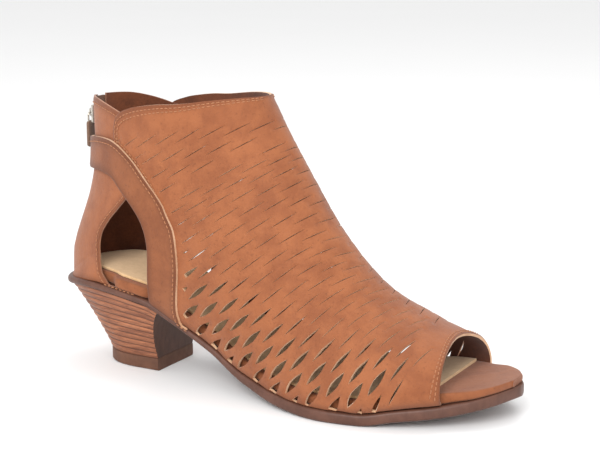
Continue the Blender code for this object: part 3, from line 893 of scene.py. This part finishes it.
# Upper. Side-view places are shares of the shoe's length and of the collar's height.
upper = {
    "panelTop": [
        (0.4757, 0.9885), (0.440, 0.985), (0.391, 0.976), (0.330, 0.961), (0.283, 0.955),
        (0.236, 0.943), (0.212, 0.932), (0.196, 0.922), (0.187, 0.912), (0.179, 0.901),
        (0.174, 0.883), (0.172, 0.859), (0.172, 0.807),
    ],
    "panelHidden": [
        (0.172, 0.807), (0.237, 0.725), (0.279, 0.638), (0.300, 0.543), (0.306, 0.435),
        (0.304, 0.326), (0.304, 0.200),
    ],
    "quarterTop": [
        (0.085, 0.952), (0.111, 0.950), (0.145, 0.938), (0.172, 0.925), (0.190, 0.915), (0.215, 0.905),
    ],
    "quarterHidden": [
        (0.215, 0.905), (0.212, 0.860), (0.222, 0.810), (0.250, 0.750), (0.262, 0.690),
        (0.243, 0.650), (0.217, 0.640),
    ],
    "windowRear": [
        (0.217, 0.640), (0.193, 0.597), (0.159, 0.537), (0.137, 0.480), (0.133, 0.420),
        (0.143, 0.360), (0.162, 0.317), (0.189, 0.240),
    ],
    "strapRear": [
        (0.090, 0.703), (0.128, 0.706), (0.171, 0.695), (0.198, 0.660), (0.236, 0.599),
        (0.261, 0.537), (0.271, 0.480), (0.272, 0.421), (0.270, 0.340), (0.269, 0.287), (0.268, 0.220),
    ],
    "strapFront": [
        (0.342, 0.180), (0.340, 0.228), (0.336, 0.262), (0.340, 0.339), (0.343, 0.409),
        (0.340, 0.478), (0.333, 0.538), (0.317, 0.586), (0.297, 0.638), (0.259, 0.709),
        (0.224, 0.766), (0.177, 0.814), (0.128, 0.822), (0.090, 0.812),
    ],
    "backTop": 0.952,
    "panelWall": 1.5 * mm,
    "quarterNear": -0.6 * mm,
    "strapNear": 1.7 * mm,
    "strapFar": 0.05 * mm,
    "slotHalf": 4 * mm,
    "slotFoot": 76 * mm,
    "strapEnds": (0.699, 0.807),
    "edgeFade": 4 * mm,
}


def slotShare(section, side, half):  # t where a section comes to half from the back seam
    f = sectionFrame(section, side)
    return (math.acos(min(half / f[4], 1)) / f[5] + 1) / 2


def backPoint(height, side, half):  # flat place beside the back seam at a height
    low, high = float(backSection), float(topSection)
    for step in range(30):
        middle = (low + high) / 2
        if lastPoint(middle, slotShare(middle, side, half), side).z < height:
            low = middle
        else:
            high = middle
    return toFlat(low, slotShare(low, side, half), side)


def backLine(low, high, side, half, spacing=1.5 * mm):
    count = max(int((high - low) / spacing), 2)
    return [backPoint(mix(low, high, i / count), side, half) for i in range(count + 1)]


def footSection(flat):
    return flatToLast(*flat)[0]


# strength of the painted rim shade on the leather
def rimFade(outline, reach):  # 1 at the rim, 0 further in
    cells = Cells(reach)
    for p in outline:
        cells.add(p, p)

    def fade(a, v):
        near = min((math.dist(p, (a, v)) for p in cells.near((a, v))), default=reach)
        return 1 - ease(near / reach)

    return fade


backSection = [row[2] for row in sectionRows].index(0.0)

slits = {
    "firstRow": 17.9 * mm,
    "toePitch": 4.93 * mm,
    "toeRows": 9,
    "midPitch": 4.35 * mm,
    "midRows": 21,  # above these the rows keep an even distance on the leather
    "pitch": 3.95 * mm,
    "topRows": 13,
    "bow": 5.6 * mm,  # how far the rows at the toe dip towards the ridge
    "bowWidth": 34 * mm,
    "bowFades": (6.5, 9.0),
    "halfPeriod": 11.15 * mm,
    "shift": 6 * mm,
    "shiftFades": (6.0, 9.5),
    "toeLimit": (26.5 * mm, 0.36),
    "length": 14.8 * mm,
    "open": 3.6 * mm,
    "closed": 0.42 * mm,
    "fullBelow": 6 * mm,
    "reach": 44 * mm,
    "thinRows": (0.15, 0.5),
    "topLine": ((8.5 * mm, 114 * mm), (64 * mm, 127 * mm)),
    "lip": 0.30 * mm,
    "footClear": 0.7 * mm,
    "strapClear": 4 * mm,
    "rearLimit": 1.5 * mm,
    "least": 3 * mm,
}
strapFrontCurve = Curve(sorted((h * last["collar"], place(a)) for a, h in upper["strapFront"][:13]))
rowStep = 2 * mm
rowReach = 52


def underStrap(p, allow):
    return p.x < strapFrontCurve(p.z) + allow


def aboveTopLine(p):
    (x0, z0), (x1, z1) = slits["topLine"]
    return p.z > mix(z0, z1, min((p.x - x0) / (x1 - x0), 1))


def gape(a, v):  # how wide a slit stands open
    section, t, side = flatToLast(a, v)
    toFoot = lengthAt(section, 1, side) - abs(v)
    return mix(slits["open"], slits["closed"], ease((toFoot - slits["fullBelow"]) / slits["reach"]))


def across(a, v, slope):  # real distance between rows for each metre of a
    step = 0.5 * mm
    here = surface(a, v)[0]
    up = (surface(a + step, v)[0] - here) / step
    side = medial if v >= 0 else lateral
    out = (surface(a, v + side * step)[0] - here) * side / step
    along = (out + up * slope).normalized()
    return max((up - along * up.dot(along)).length, 0.3)


def onGrid(line, v):
    spot = min(max(v / rowStep + rowReach, 0), 2 * rowReach - 1e-6)
    i = int(spot)
    return mix(line[i], line[i + 1], spot - i)


def evenRows(start, count):  # lines above start, each a real pitch from the one before
    lines = [[start] * (2 * rowReach + 1)]
    for number in range(count):
        before = lines[-1]
        moved = []
        for i, a in enumerate(before):
            v = (i - rowReach) * rowStep
            free = lengthAt(flatToLast(a, v)[0], 1, medial if v >= 0 else lateral) - 2 * rowStep
            v = min(max(v, -free), free)
            slope = (before[min(i + 1, 2 * rowReach)] - before[max(i - 1, 0)]) / (2 * rowStep)
            moved.append(a + slits["pitch"] / across(a, v, slope))
        wrapped = [moved[0], *moved, moved[-1]]
        lines.append([(wrapped[i] + 2 * wrapped[i + 1] + wrapped[i + 2]) / 4 for i in range(len(moved))])
    return lines


lowRows = slits["toeRows"] + slits["midRows"]
midStart = slits["firstRow"] + slits["toeRows"] * slits["toePitch"]
highLines = evenRows(midStart + slits["midRows"] * slits["midPitch"], slits["topRows"])


def fading(a, span):
    low, high = span
    return 1 - ease((fineAt(runA, a) / finePerSection - low) / (high - low))


def rowAt(number, v):  # where on the pattern a row of slits runs
    if number > lowRows:
        return onGrid(highLines[number - lowRows], v)
    if number <= slits["toeRows"]:
        a = slits["firstRow"] + number * slits["toePitch"]
    else:
        a = midStart + (number - slits["toeRows"]) * slits["midPitch"]
    dip = 1 - math.sin(math.pi / 2 * min(abs(v) / slits["bowWidth"], 1))
    return a - slits["bow"] * fading(a, slits["bowFades"]) * dip


def slitLoop(number, v, opening, low, high):  # a lens along the row, cut off where it leaves the panel
    half = opening / 2 / across(rowAt(number, v), v, 0)
    steps = 8
    upperRun, lowerRun = [], []
    for i in range(steps + 1):
        w = mix(low, high, (1 - math.cos(math.pi * i / steps)) / 2)
        u = (w - v) / (slits["length"] / 2)
        wide = half * max(1 - abs(u) ** 1.7, 0)
        a = rowAt(number, w)
        upperRun.append((a + wide, w))
        lowerRun.append((a - wide, w))
    return cleaned([*upperRun, *lowerRun[::-1]], 0.02 * mm)


def freeReach(number, side):  # how far out the panel can be cut along a row
    v = 0.0
    while abs(v) < rowReach * rowStep:
        a = rowAt(number, v)
        p = surface(a, v)[0]
        if underStrap(p, slits["strapClear"]) or p.x < slits["rearLimit"]:
            return abs(v)
        full = lengthAt(flatToLast(a, v)[0], 1, side) - slits["footClear"]
        if abs(v) >= full:
            return full
        v += side * rowStep / 2
    return abs(v)


def cutSlits():
    holes, lips = [], []
    for number in range(lowRows + slits["topRows"] + 1):
        limits = {side: freeReach(number, side) for side in bothSides}
        shift = slits["shift"] * fading(rowAt(number, 0), slits["shiftFades"])
        for k in range(-8, 9):
            if (k - number) % 2:
                continue
            v = -slits["halfPeriod"] * k - shift * math.exp(-abs(k) / 3)
            low = max(v - slits["length"] / 2, -limits[lateral])
            high = min(v + slits["length"] / 2, limits[medial])
            if high - low < slits["least"]:
                continue
            a = rowAt(number, v)
            start, slope = slits["toeLimit"]
            if a < start - slope * abs(v) or aboveTopLine(surface(a, v)[0]):
                continue
            opening = gape(a, v)
            if number < len(slits["thinRows"]):
                opening = mix(slits["closed"], opening, slits["thinRows"][number])
            holes.append(slitLoop(number, v, opening, low, high))
            lips.append((a, v, (opening - slits["closed"]) / slits["open"]))
    return holes, lips


def lipRelief(lips):  # one lip of an open slit stands a little proud of the other
    cells = Cells(9 * mm)
    for lip in lips:
        cells.add(lip, lip)

    def relief(a, v):
        rise = 0.0
        for a0, v0, share in cells.near((a, v)):
            along = 1 - ((v - v0) / (slits["length"] / 2)) ** 2
            if along > 0:
                away = (a - a0) / slits["pitch"]
                rise += slits["lip"] * share * along * away * 3 * math.exp(-away * away * 2.5)
        return rise

    return relief


def gentle(a, v):  # the leather isn't dead flat
    wide = noise.noise(Vector((a * 60, v * 60, 2.7)))
    return 0.25 * mm * (wide + 0.4 * noise.noise(Vector((a * 170, v * 170, 8))))


panelSides = {}
for side in bothSides:
    panelSides[side] = sidePoints(upper["panelTop"], side) + sidePoints(upper["panelHidden"], side)[1:]
peep = {"foot": 1.3 * mm, "ridge": 12 * mm, "halfWidth": 42 * mm, "steps": 80}
peepSection = footSection((peep["foot"], 0))
panelFoot = {}
for side in bothSides:
    panelFoot[side] = footLine(peepSection, footSection(panelSides[side][-1]), side)
peepEdge = []  # the toe opening reaches furthest back over the ridge
for i in range(peep["steps"] + 1):
    v = mix(-lengthAt(peepSection, 1, lateral), lengthAt(peepSection, 1, medial), i / peep["steps"])
    peepEdge.append((mix(peep["ridge"], peep["foot"], ease(abs(v) / peep["halfWidth"])), v))
panelOutline = panelSides[lateral] + panelFoot[lateral][::-1] + peepEdge[1:-1]
panelOutline += panelFoot[medial] + panelSides[medial][::-1]
slitHoles, slitLips = cutSlits()
lipHeight = lipRelief(slitLips)
frontPanel = panel(
    "front_panel", panelOutline, slitHoles, 0.0, -upper["panelWall"], ["nubuck", "inside", "cutEdge"],
    relief=lambda a, v: lipHeight(a, v) + gentle(a, v),
    rimShade=rimFade(panelOutline, upper["edgeFade"]),
)
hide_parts("upper")
print("front panel cut with", len(slitHoles), "slits")

quarterEdges = {}
for side, name in ((lateral, "quarter_lateral"), (medial, "quarter_medial")):
    top = [backPoint(upper["backTop"] * last["collar"], side, upper["slotHalf"])]
    top = evenly(top + sidePoints(upper["quarterTop"], side), 1.5 * mm)
    hidden = sidePoints(upper["quarterHidden"], side)
    window = sidePoints(upper["windowRear"], side)
    foot = footLine(footSection(window[-1]), backSection, side)
    seam = backLine(last["seat"] + 6 * mm, upper["slotFoot"], side, 0.1 * mm)
    slot = backLine(upper["slotFoot"], upper["backTop"] * last["collar"], side, upper["slotHalf"])
    outline = top + hidden[1:] + window[1:] + foot + seam + slot[:-1]
    quarter = panel(
        name, outline, [], upper["quarterNear"], -last["wall"], ["nubuck", "inside", "darkEdge"],
        grid=1.6 * mm, relief=gentle, rimShade=rimFade(outline, upper["edgeFade"]),
    )
    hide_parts("upper")
    quarterEdges[side] = {"top": top, "window": window, "seam": seam, "slot": slot}
print("quarters laid on")

strapEdges = {}
for side, name in ((lateral, "strap_lateral"), (medial, "strap_medial")):
    slotHalf = upper["slotHalf"] + last["gap"]
    low, high = (h * last["collar"] for h in upper["strapEnds"])
    end = backLine(low, high, side, slotHalf)
    rear = evenly([end[0]] + sidePoints(upper["strapRear"], side), 1.5 * mm)
    front = evenly(sidePoints(upper["strapFront"], side) + [end[-1]], 1.5 * mm)
    foot = footLine(footSection(rear[-1]), footSection(front[0]), side)
    outline = rear + foot[1:-1] + front + end[1:-1][::-1]
    strap = panel(
        name + "_leather", outline, [], upper["strapNear"], upper["strapFar"],
        ["strapNubuck", "inside", "cutEdge"], grid=1.6 * mm, relief=gentle,
        rimShade=rimFade(outline, upper["edgeFade"]),
    )
    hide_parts(name)
    strapEdges[side] = {"rear": rear, "front": front, "foot": foot, "end": end}
print("straps laid on")


# Sole
sole = {
    "rings": 150,
    "liftLength": 35 * mm,
    "liftWidth": 31 * mm,
    "liftHeight": 6.2 * mm,
    "layers": 11,
    "groove": 0.5 * mm,
    "backInset": 3.6 * mm,
    "sideInset": 1.2 * mm,
    "breastTop": 25 * mm,
    "breastHollow": 5.5 * mm,
    "footbed": 5 * mm,
    "lip": 1.2 * mm,
    "sock": 1.2 * mm,
    "sockInset": 2.4 * mm,
}


def soleStations(first, final, count):
    return [
        place((1 - math.cos(mix(turn(first), turn(final), i / (count - 1)))) / 2) for i in range(count)
    ]


def edgedPlate(name, stations, half, lower, upper, radius, materials, crown=None):
    # a plate cut to an outline, with a rounded edge
    shape = bmesh.new()
    rings = []
    for x in stations:
        left, right = half(x, lateral), half(x, medial)
        middle, reach = (right - left) / 2, (right + left) / 2
        low, high = lower(x), upper(x)
        r = min(radius, (high - low) / 2, reach * 0.8)
        ring = []
        for k in range(17):
            across = -1 + k / 8
            lift = crown(x, across) if crown else 0
            ring.append(Vector((x, middle + across * (reach - r), high + lift)))
        for k in range(1, 6):
            angle = k * math.pi / 12
            ring.append(Vector((x, middle + reach - r + r * math.sin(angle), high - r + r * math.cos(angle))))
        for k in range(1, 7):
            angle = math.pi / 2 + k * math.pi / 12
            ring.append(Vector((x, middle + reach - r + r * math.sin(angle), low + r + r * math.cos(angle))))
        for k in range(1, 9):
            across = 1 - k / 4
            ring.append(Vector((x, middle + across * (reach - r), low)))
        for k in range(1, 6):
            angle = math.pi + k * math.pi / 12
            ring.append(Vector((x, middle - reach + r + r * math.sin(angle), low + r + r * math.cos(angle))))
        for k in range(1, 6):
            angle = math.pi * 1.5 + k * math.pi / 12
            ring.append(Vector((x, middle - reach + r + r * math.sin(angle), high - r + r * math.cos(angle))))
        rings.append(ring)
    bridge(shape, rings)
    return shapeMesh(name, shape, materials, angle=40)


outsole = edgedPlate(
    "outsole_body", soleStations(0.0006, 0.9994, sole["rings"]), soleHalf, soleLower, soleUpper,
    1.7 * mm, ["sole"],
)
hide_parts("outsole")

windowBackX = place(upper["windowRear"][-2][0])
windowFrontX = place(0.271)


def footbedOpen(x):  # 1 where no upper covers the footbed's edge
    blend = 9 * mm
    toe = ease((x - mix(featherBack, toeTip, sectionRows[0][2]) - 1 * mm) / blend)
    rear = ease((x - windowBackX - 1.5 * mm) / (blend / 2))
    front = ease((windowFrontX - 1.5 * mm - x) / (blend / 2))
    return max(toe, rear * front)


def footbedHalf(x, side):
    rear = 1 - ease((x - featherBack) / (70 * mm))
    covered = last["wall"] + last["gap"] + mix(0.5 * mm, 4.2 * mm, rear)
    inside = mix(covered, sole["lip"] - last["margin"], footbedOpen(x))
    shift = (featherBack - heelBack) * 0.5 * (1 - ease((x - featherBack) / (40 * mm)))
    return max(featherHalf(x - shift, side) - inside, 0.3 * mm)


def footbedLower(x):
    return soleUpper(x) + last["gap"] / 2


def footbedUpper(x):
    thin = ease((x - place(0.86)) / (last["length"] * 0.13))
    return soleUpper(x) + last["gap"] + sole["footbed"] * mix(1, 0.62, thin)


footbedStart = shareAt(featherBack + last["wall"] + last["gap"] + 1.8 * mm)
footbed = edgedPlate(
    "footbed_body", soleStations(footbedStart, 0.9915, 120), footbedHalf, footbedLower,
    footbedUpper, 1.6 * mm, ["footbed"],
)
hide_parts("footbed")


def sockHalf(x, side):
    return max(footbedHalf(x, side) - sole["sockInset"] * mix(1, 1.9, footbedOpen(x)), 0.3 * mm)


sockStart = shareAt(featherBack + last["wall"] + last["gap"] + 4.6 * mm)
sock = edgedPlate(
    "sock_lining", soleStations(sockStart, 0.868, 90), sockHalf, lambda x: footbedUpper(x) + 0.1 * mm,
    lambda x: footbedUpper(x) + last["gap"] + sole["sock"], 0.5 * mm, ["sock"],
)
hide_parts("sock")
print("sole laid out")


# Heel
def liftHalf(share):
    reach = 0.62
    if share >= reach:
        return sole["liftWidth"] / 2
    return sole["liftWidth"] / 2 * (1 - (1 - share / reach) ** 2.2) ** (1 / 2.2)


def heelRing(level, height, groove, count=34):
    spread = level ** 1.15
    back = mix(-sole["liftLength"] / 2, heelBack + sole["backInset"], spread) + groove
    front = mix(sole["liftLength"] / 2, sole["breastTop"], level)
    front -= sole["breastHollow"] * level * (1 - level) * 2
    ring = []
    for side in bothSides:
        run = []
        for i in range(count):
            share = 1 - math.cos(math.pi / 2 * (i + 0.35) / (count - 0.65))
            x = mix(back, front, share)
            seatX = mix(heelBack + sole["backInset"] * 0.45, sole["breastTop"], share)
            seat = soleHalf(seatX, side) - sole["sideInset"]
            half = mix(liftHalf(share), seat, spread) - groove
            run.append(Vector((x, side * half, height(x))))
        ring += run if side == medial else reversed(run)
    return ring


def makeHeel():
    perLayer = 8
    shape = bmesh.new()
    layer = shape.verts.layers.float.new("layer")
    rings, levels = [], []
    total = sole["layers"] * perLayer
    for step in range(total + 1):
        level = step / total
        wave = abs(math.cos(math.pi * step / perLayer)) ** 5
        groove = sole["groove"] * wave if 0 < step < total else 0.0
        floor = sole["liftHeight"] + last["gap"] / 2

        def height(x, level=level):
            return mix(floor, soleLower(x) - last["gap"] / 2, level)

        rings.append(heelRing(level, height, groove))
        levels.append(level * sole["layers"])
    loops, faces = bridge(shape, rings)
    for loop, level in zip(loops, levels):
        for vert in loop:
            vert[layer] = level
    width = len(rings[0])
    for number, face in enumerate(faces):
        if number % width == width - 1:
            face.material_index = 1
    return shapeMesh("heel_stack", shape, ["stack", "breast"], angle=50)


heel = makeHeel()
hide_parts("heel")
liftShape = bmesh.new()
bridge(liftShape, [
    heelRing(0, lambda x, z=z: z, groove)
    for z, groove in ((0, 0.7 * mm), (0.25 * mm, 0.25 * mm), (0.8 * mm, 0), (5.6 * mm, 0), (6.0 * mm, 0.1 * mm), (6.2 * mm, 0.4 * mm))
])
lift = shapeMesh("heel_lift", liftShape, ["lift"], angle=30)
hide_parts("top_lift")
print("heel stacked")


# Zip
zipper = {
    "tape": 1.2 * mm,
    "tapeHalf": 3.7 * mm,
    "toothPitch": 1.35 * mm,
    "toothWidth": 2.6 * mm,
    "toothRise": 0.9 * mm,
    "slider": (1.8 * mm, 6 * mm, 9 * mm),
    "sliderBelow": 5.5 * mm,
    "bailRise": 2.6 * mm,
    "wire": 1.0 * mm,
    "drop": 4 * mm,
    "tab": (2 * mm, 7 * mm, 13 * mm),
    "foot": 76.3 * mm,
}
zipTop = last["collar"] * upper["backTop"] - 1 * mm
tapeOut = (last["wall"] - zipper["tape"]) / 2


def makeTape():
    shape = bmesh.new()
    rings = []
    half = zipper["tapeHalf"]
    for i in range(40):
        z = mix(zipper["foot"], zipTop, i / 39)
        x = backCurve(z) + tapeOut
        front = [Vector((x, half * k / 4, z)) for k in range(-4, 5)]
        rings.append(front + [Vector((x + zipper["tape"], half * k / 4, z)) for k in range(4, -5, -1)])
    bridge(shape, rings)
    return shapeMesh("zip_tape_cloth", shape, ["tape"])


def makeTeeth():
    shape = bmesh.new()
    count = int((zipTop - zipper["foot"]) / zipper["toothPitch"]) * 2
    for number in range(count):
        side = 1 if number % 2 else -1
        z = zipper["foot"] + (number + 0.5) * zipper["toothPitch"] / 2
        x = backCurve(z) + tapeOut
        rings = []
        for k, (out, tall) in enumerate(((0.0, 0.3), (0.5, 0.5), (0.85, 0.45), (1.0, 0.25))):
            tall *= zipper["toothPitch"] / 2
            depth = zipper["toothRise"] * out
            inner, outer = -side * 0.35 * mm, side * zipper["toothWidth"] / 2 * (1 - 0.25 * out)
            ring = [
                Vector((x - depth, inner, z - tall)), Vector((x - depth, outer, z - tall)),
                Vector((x - depth, outer, z + tall)), Vector((x - depth, inner, z + tall)),
            ]
            rings.append(ring)
        bridge(shape, rings)
    return shapeMesh("zip_teeth", shape, ["coil"], angle=30)


tape = makeTape()
teeth = makeTeeth()
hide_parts("zip_tape")
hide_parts("zip_tape")

low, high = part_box("zip_slider")
sliderFace = high.x
sliderTop = zipTop + 1 * mm - zipper["sliderBelow"]
pivot = Vector((low.x + zipper["wire"] / 2 + 0.8 * mm, 0, sliderTop - zipper["slider"][2] * 0.45))
sliderSlots = frame["nodes"]["zip_slider"].material_slots
for held in sliderSlots:
    held.material = finish["metal"]
print("slider finished in", len(sliderSlots), "material")


def wireRing(shape, points, radius, sides=10, closed=True):
    rings = []
    count = len(points)
    for i, p in enumerate(points):
        ahead = points[(i + 1) % count] if closed else points[min(i + 1, count - 1)]
        behind = points[i - 1] if closed else points[max(i - 1, 0)]
        along = (ahead - behind).normalized()
        wide = along.cross(Vector((1, 0, 0))).normalized()
        up = wide.cross(along)
        rings.append([
            p + (wide * math.cos(k * 2 * math.pi / sides) + up * math.sin(k * 2 * math.pi / sides)) * radius
            for k in range(sides)
        ])
    if closed:
        rings.append(rings[0])
    bridge(shape, rings, ends=not closed)
    bmesh.ops.remove_doubles(shape, verts=shape.verts, dist=0.00001)


def makePull():
    pull = hinge
    shape = bmesh.new()
    half = zipper["tab"][1] / 2 - zipper["wire"]
    top, bottom, corner = 0.0, -zipper["drop"] - 0.8 * mm, 1.2 * mm
    points = []
    for cy, cz, start in ((half - corner, top - corner, 0), (-half + corner, top - corner, 1),
                          (-half + corner, bottom + corner, 2), (half - corner, bottom + corner, 3)):
        for k in range(5):
            angle = math.pi / 2 * (start + k / 4)
            points.append(pull + Vector((0, cy + corner * math.cos(angle), cz + corner * math.sin(angle))))
    wireRing(shape, points, zipper["wire"] / 2)
    loop = shapeMesh("pull_loop", shape, ["metal"], "pull")
    thick, wide, long = zipper["tab"]
    shape = bmesh.new()
    rings = []
    top = pull.z - zipper["drop"]
    for level in range(25):
        share = level / 24
        z = top - long * share
        edge = min(share, 1 - share) * long
        bow = (1 - max(0, 1 - edge / (1.6 * mm)) ** 2) ** 0.5 if edge < 1.6 * mm else 1
        halfWide = (wide / 2 - 1.2 * mm) + 1.2 * mm * bow
        halfThick = thick / 2 * (0.55 + 0.45 * bow)
        ring = []
        for k in range(20):
            angle = k * 2 * math.pi / 20
            c, s = math.cos(angle), math.sin(angle)
            y = math.copysign(abs(c) ** 0.35, c) * halfWide
            x = math.copysign(abs(s) ** 0.6, s) * halfThick
            ring.append(Vector((pull.x + x, pull.y + y, z)))
        rings.append(ring)
    bridge(shape, rings)
    tab = shapeMesh("pull_tab", shape, ["tab"], "pull", angle=45)
    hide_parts("zip_pull")
    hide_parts("zip_pull")
    return tab


jointRows = frame["record"]["behaviour"]["joints"]
hinge = Vector(jointRows[0]["origin"]) if "origin" in jointRows[0] else pivot
makePull()
print("zip closed")


# Stitching
near = 0.12 * mm
rows = []
for side in bothSides:
    flip = side * -1
    for distance in (1.6 * mm, 3.2 * mm):
        rows.append((inset(panelSides[side][2:-2], side * distance), near, 1))
    edges = strapEdges[side]
    rows.append((inset(edges["front"], -flip * 1.4 * mm), upper["strapNear"] + near, 1))
    rows.append((inset(quarterEdges[side]["window"], flip * 1.5 * mm), upper["quarterNear"] + near, 1))
    rows.append((inset(quarterEdges[side]["top"], flip * 1.6 * mm), upper["quarterNear"] + near, 1))
for distance in (1.7 * mm, 3.4 * mm):
    rows.append(([(a + distance, v) for a, v in peepEdge[2:-2]], near, 1))
stitchRows("upper_stitching", rows)
print("stitched")


# Floor, lights and camera
stage = {
    "floorSize": 6.0,
    "floor": (0.85, 0.85, 0.85),
    "world": 1.0,
}
view = {  # where the photograph was taken from
    "place": (0.4111348, -0.5834023, 0.2213482),
    "azimuth": 0.5061375,
    "elevation": 0.2129256,
    "lens": 88.6655,
    "sensor": 36.0,
}


def makeFloor():
    bpy.ops.mesh.primitive_plane_add(size=stage["floorSize"], location=(0, 0, -0.0001))
    floor = bpy.context.object
    floor.name = "floor"
    look = Look("floor_paper")
    cloud = look.noise(3, 2, 0.5)
    look.colour(look.blend(stage["floor"], tuple(c * 0.985 for c in stage["floor"]), cloud))
    look.rough(0.85 + cloud * 0.05)
    floor.data.materials.append(look.material)


def softLight(name, place, target, size, power, colour=(1, 1, 1)):
    light = bpy.data.lights.new(name, "AREA")
    light.shape = "DISK"
    light.size = size
    light.energy = power
    light.color = colour
    holder = bpy.data.objects.new(name, light)
    holder.location = place
    holder.rotation_mode = "QUATERNION"
    holder.rotation_quaternion = (Vector(target) - Vector(place)).to_track_quat("-Z", "Y")
    scene.collection.objects.link(holder)


def makeCamera():
    az, el = view["azimuth"], view["elevation"]
    forward = Vector((-math.sin(az) * math.cos(el), math.cos(az) * math.cos(el), -math.sin(el)))
    right = Vector((math.cos(az), math.sin(az), 0))
    up = right.cross(forward)
    camera = bpy.data.objects.new("camera", bpy.data.cameras.new("camera"))
    camera.data.lens = view["lens"]
    camera.data.sensor_width = view["sensor"]
    camera.data.clip_start = 0.05
    camera.data.clip_end = 20
    camera.matrix_world = Matrix.Translation(view["place"]) @ Matrix((right, up, -forward)).transposed().to_4x4()
    scene.collection.objects.link(camera)
    scene.camera = camera


scene.view_settings.view_transform = "Standard"
makeFloor()
world = bpy.data.worlds.new("studio")
scene.world = world
world.use_nodes = True
world.node_tree.nodes["Background"].inputs["Color"].default_value = (1, 1, 1, 1)
world.node_tree.nodes["Background"].inputs["Strength"].default_value = stage["world"]
centre = (0.06, 0, 0.06)
softLight("key", (0.25, -1.1, 0.8), centre, 0.7, 12)
softLight("fill", (1.0, -0.9, 0.6), centre, 0.9, 4)
softLight("top", (0.1, 0.5, 1.4), centre, 0.9, 5)
makeCamera()

print("ready")
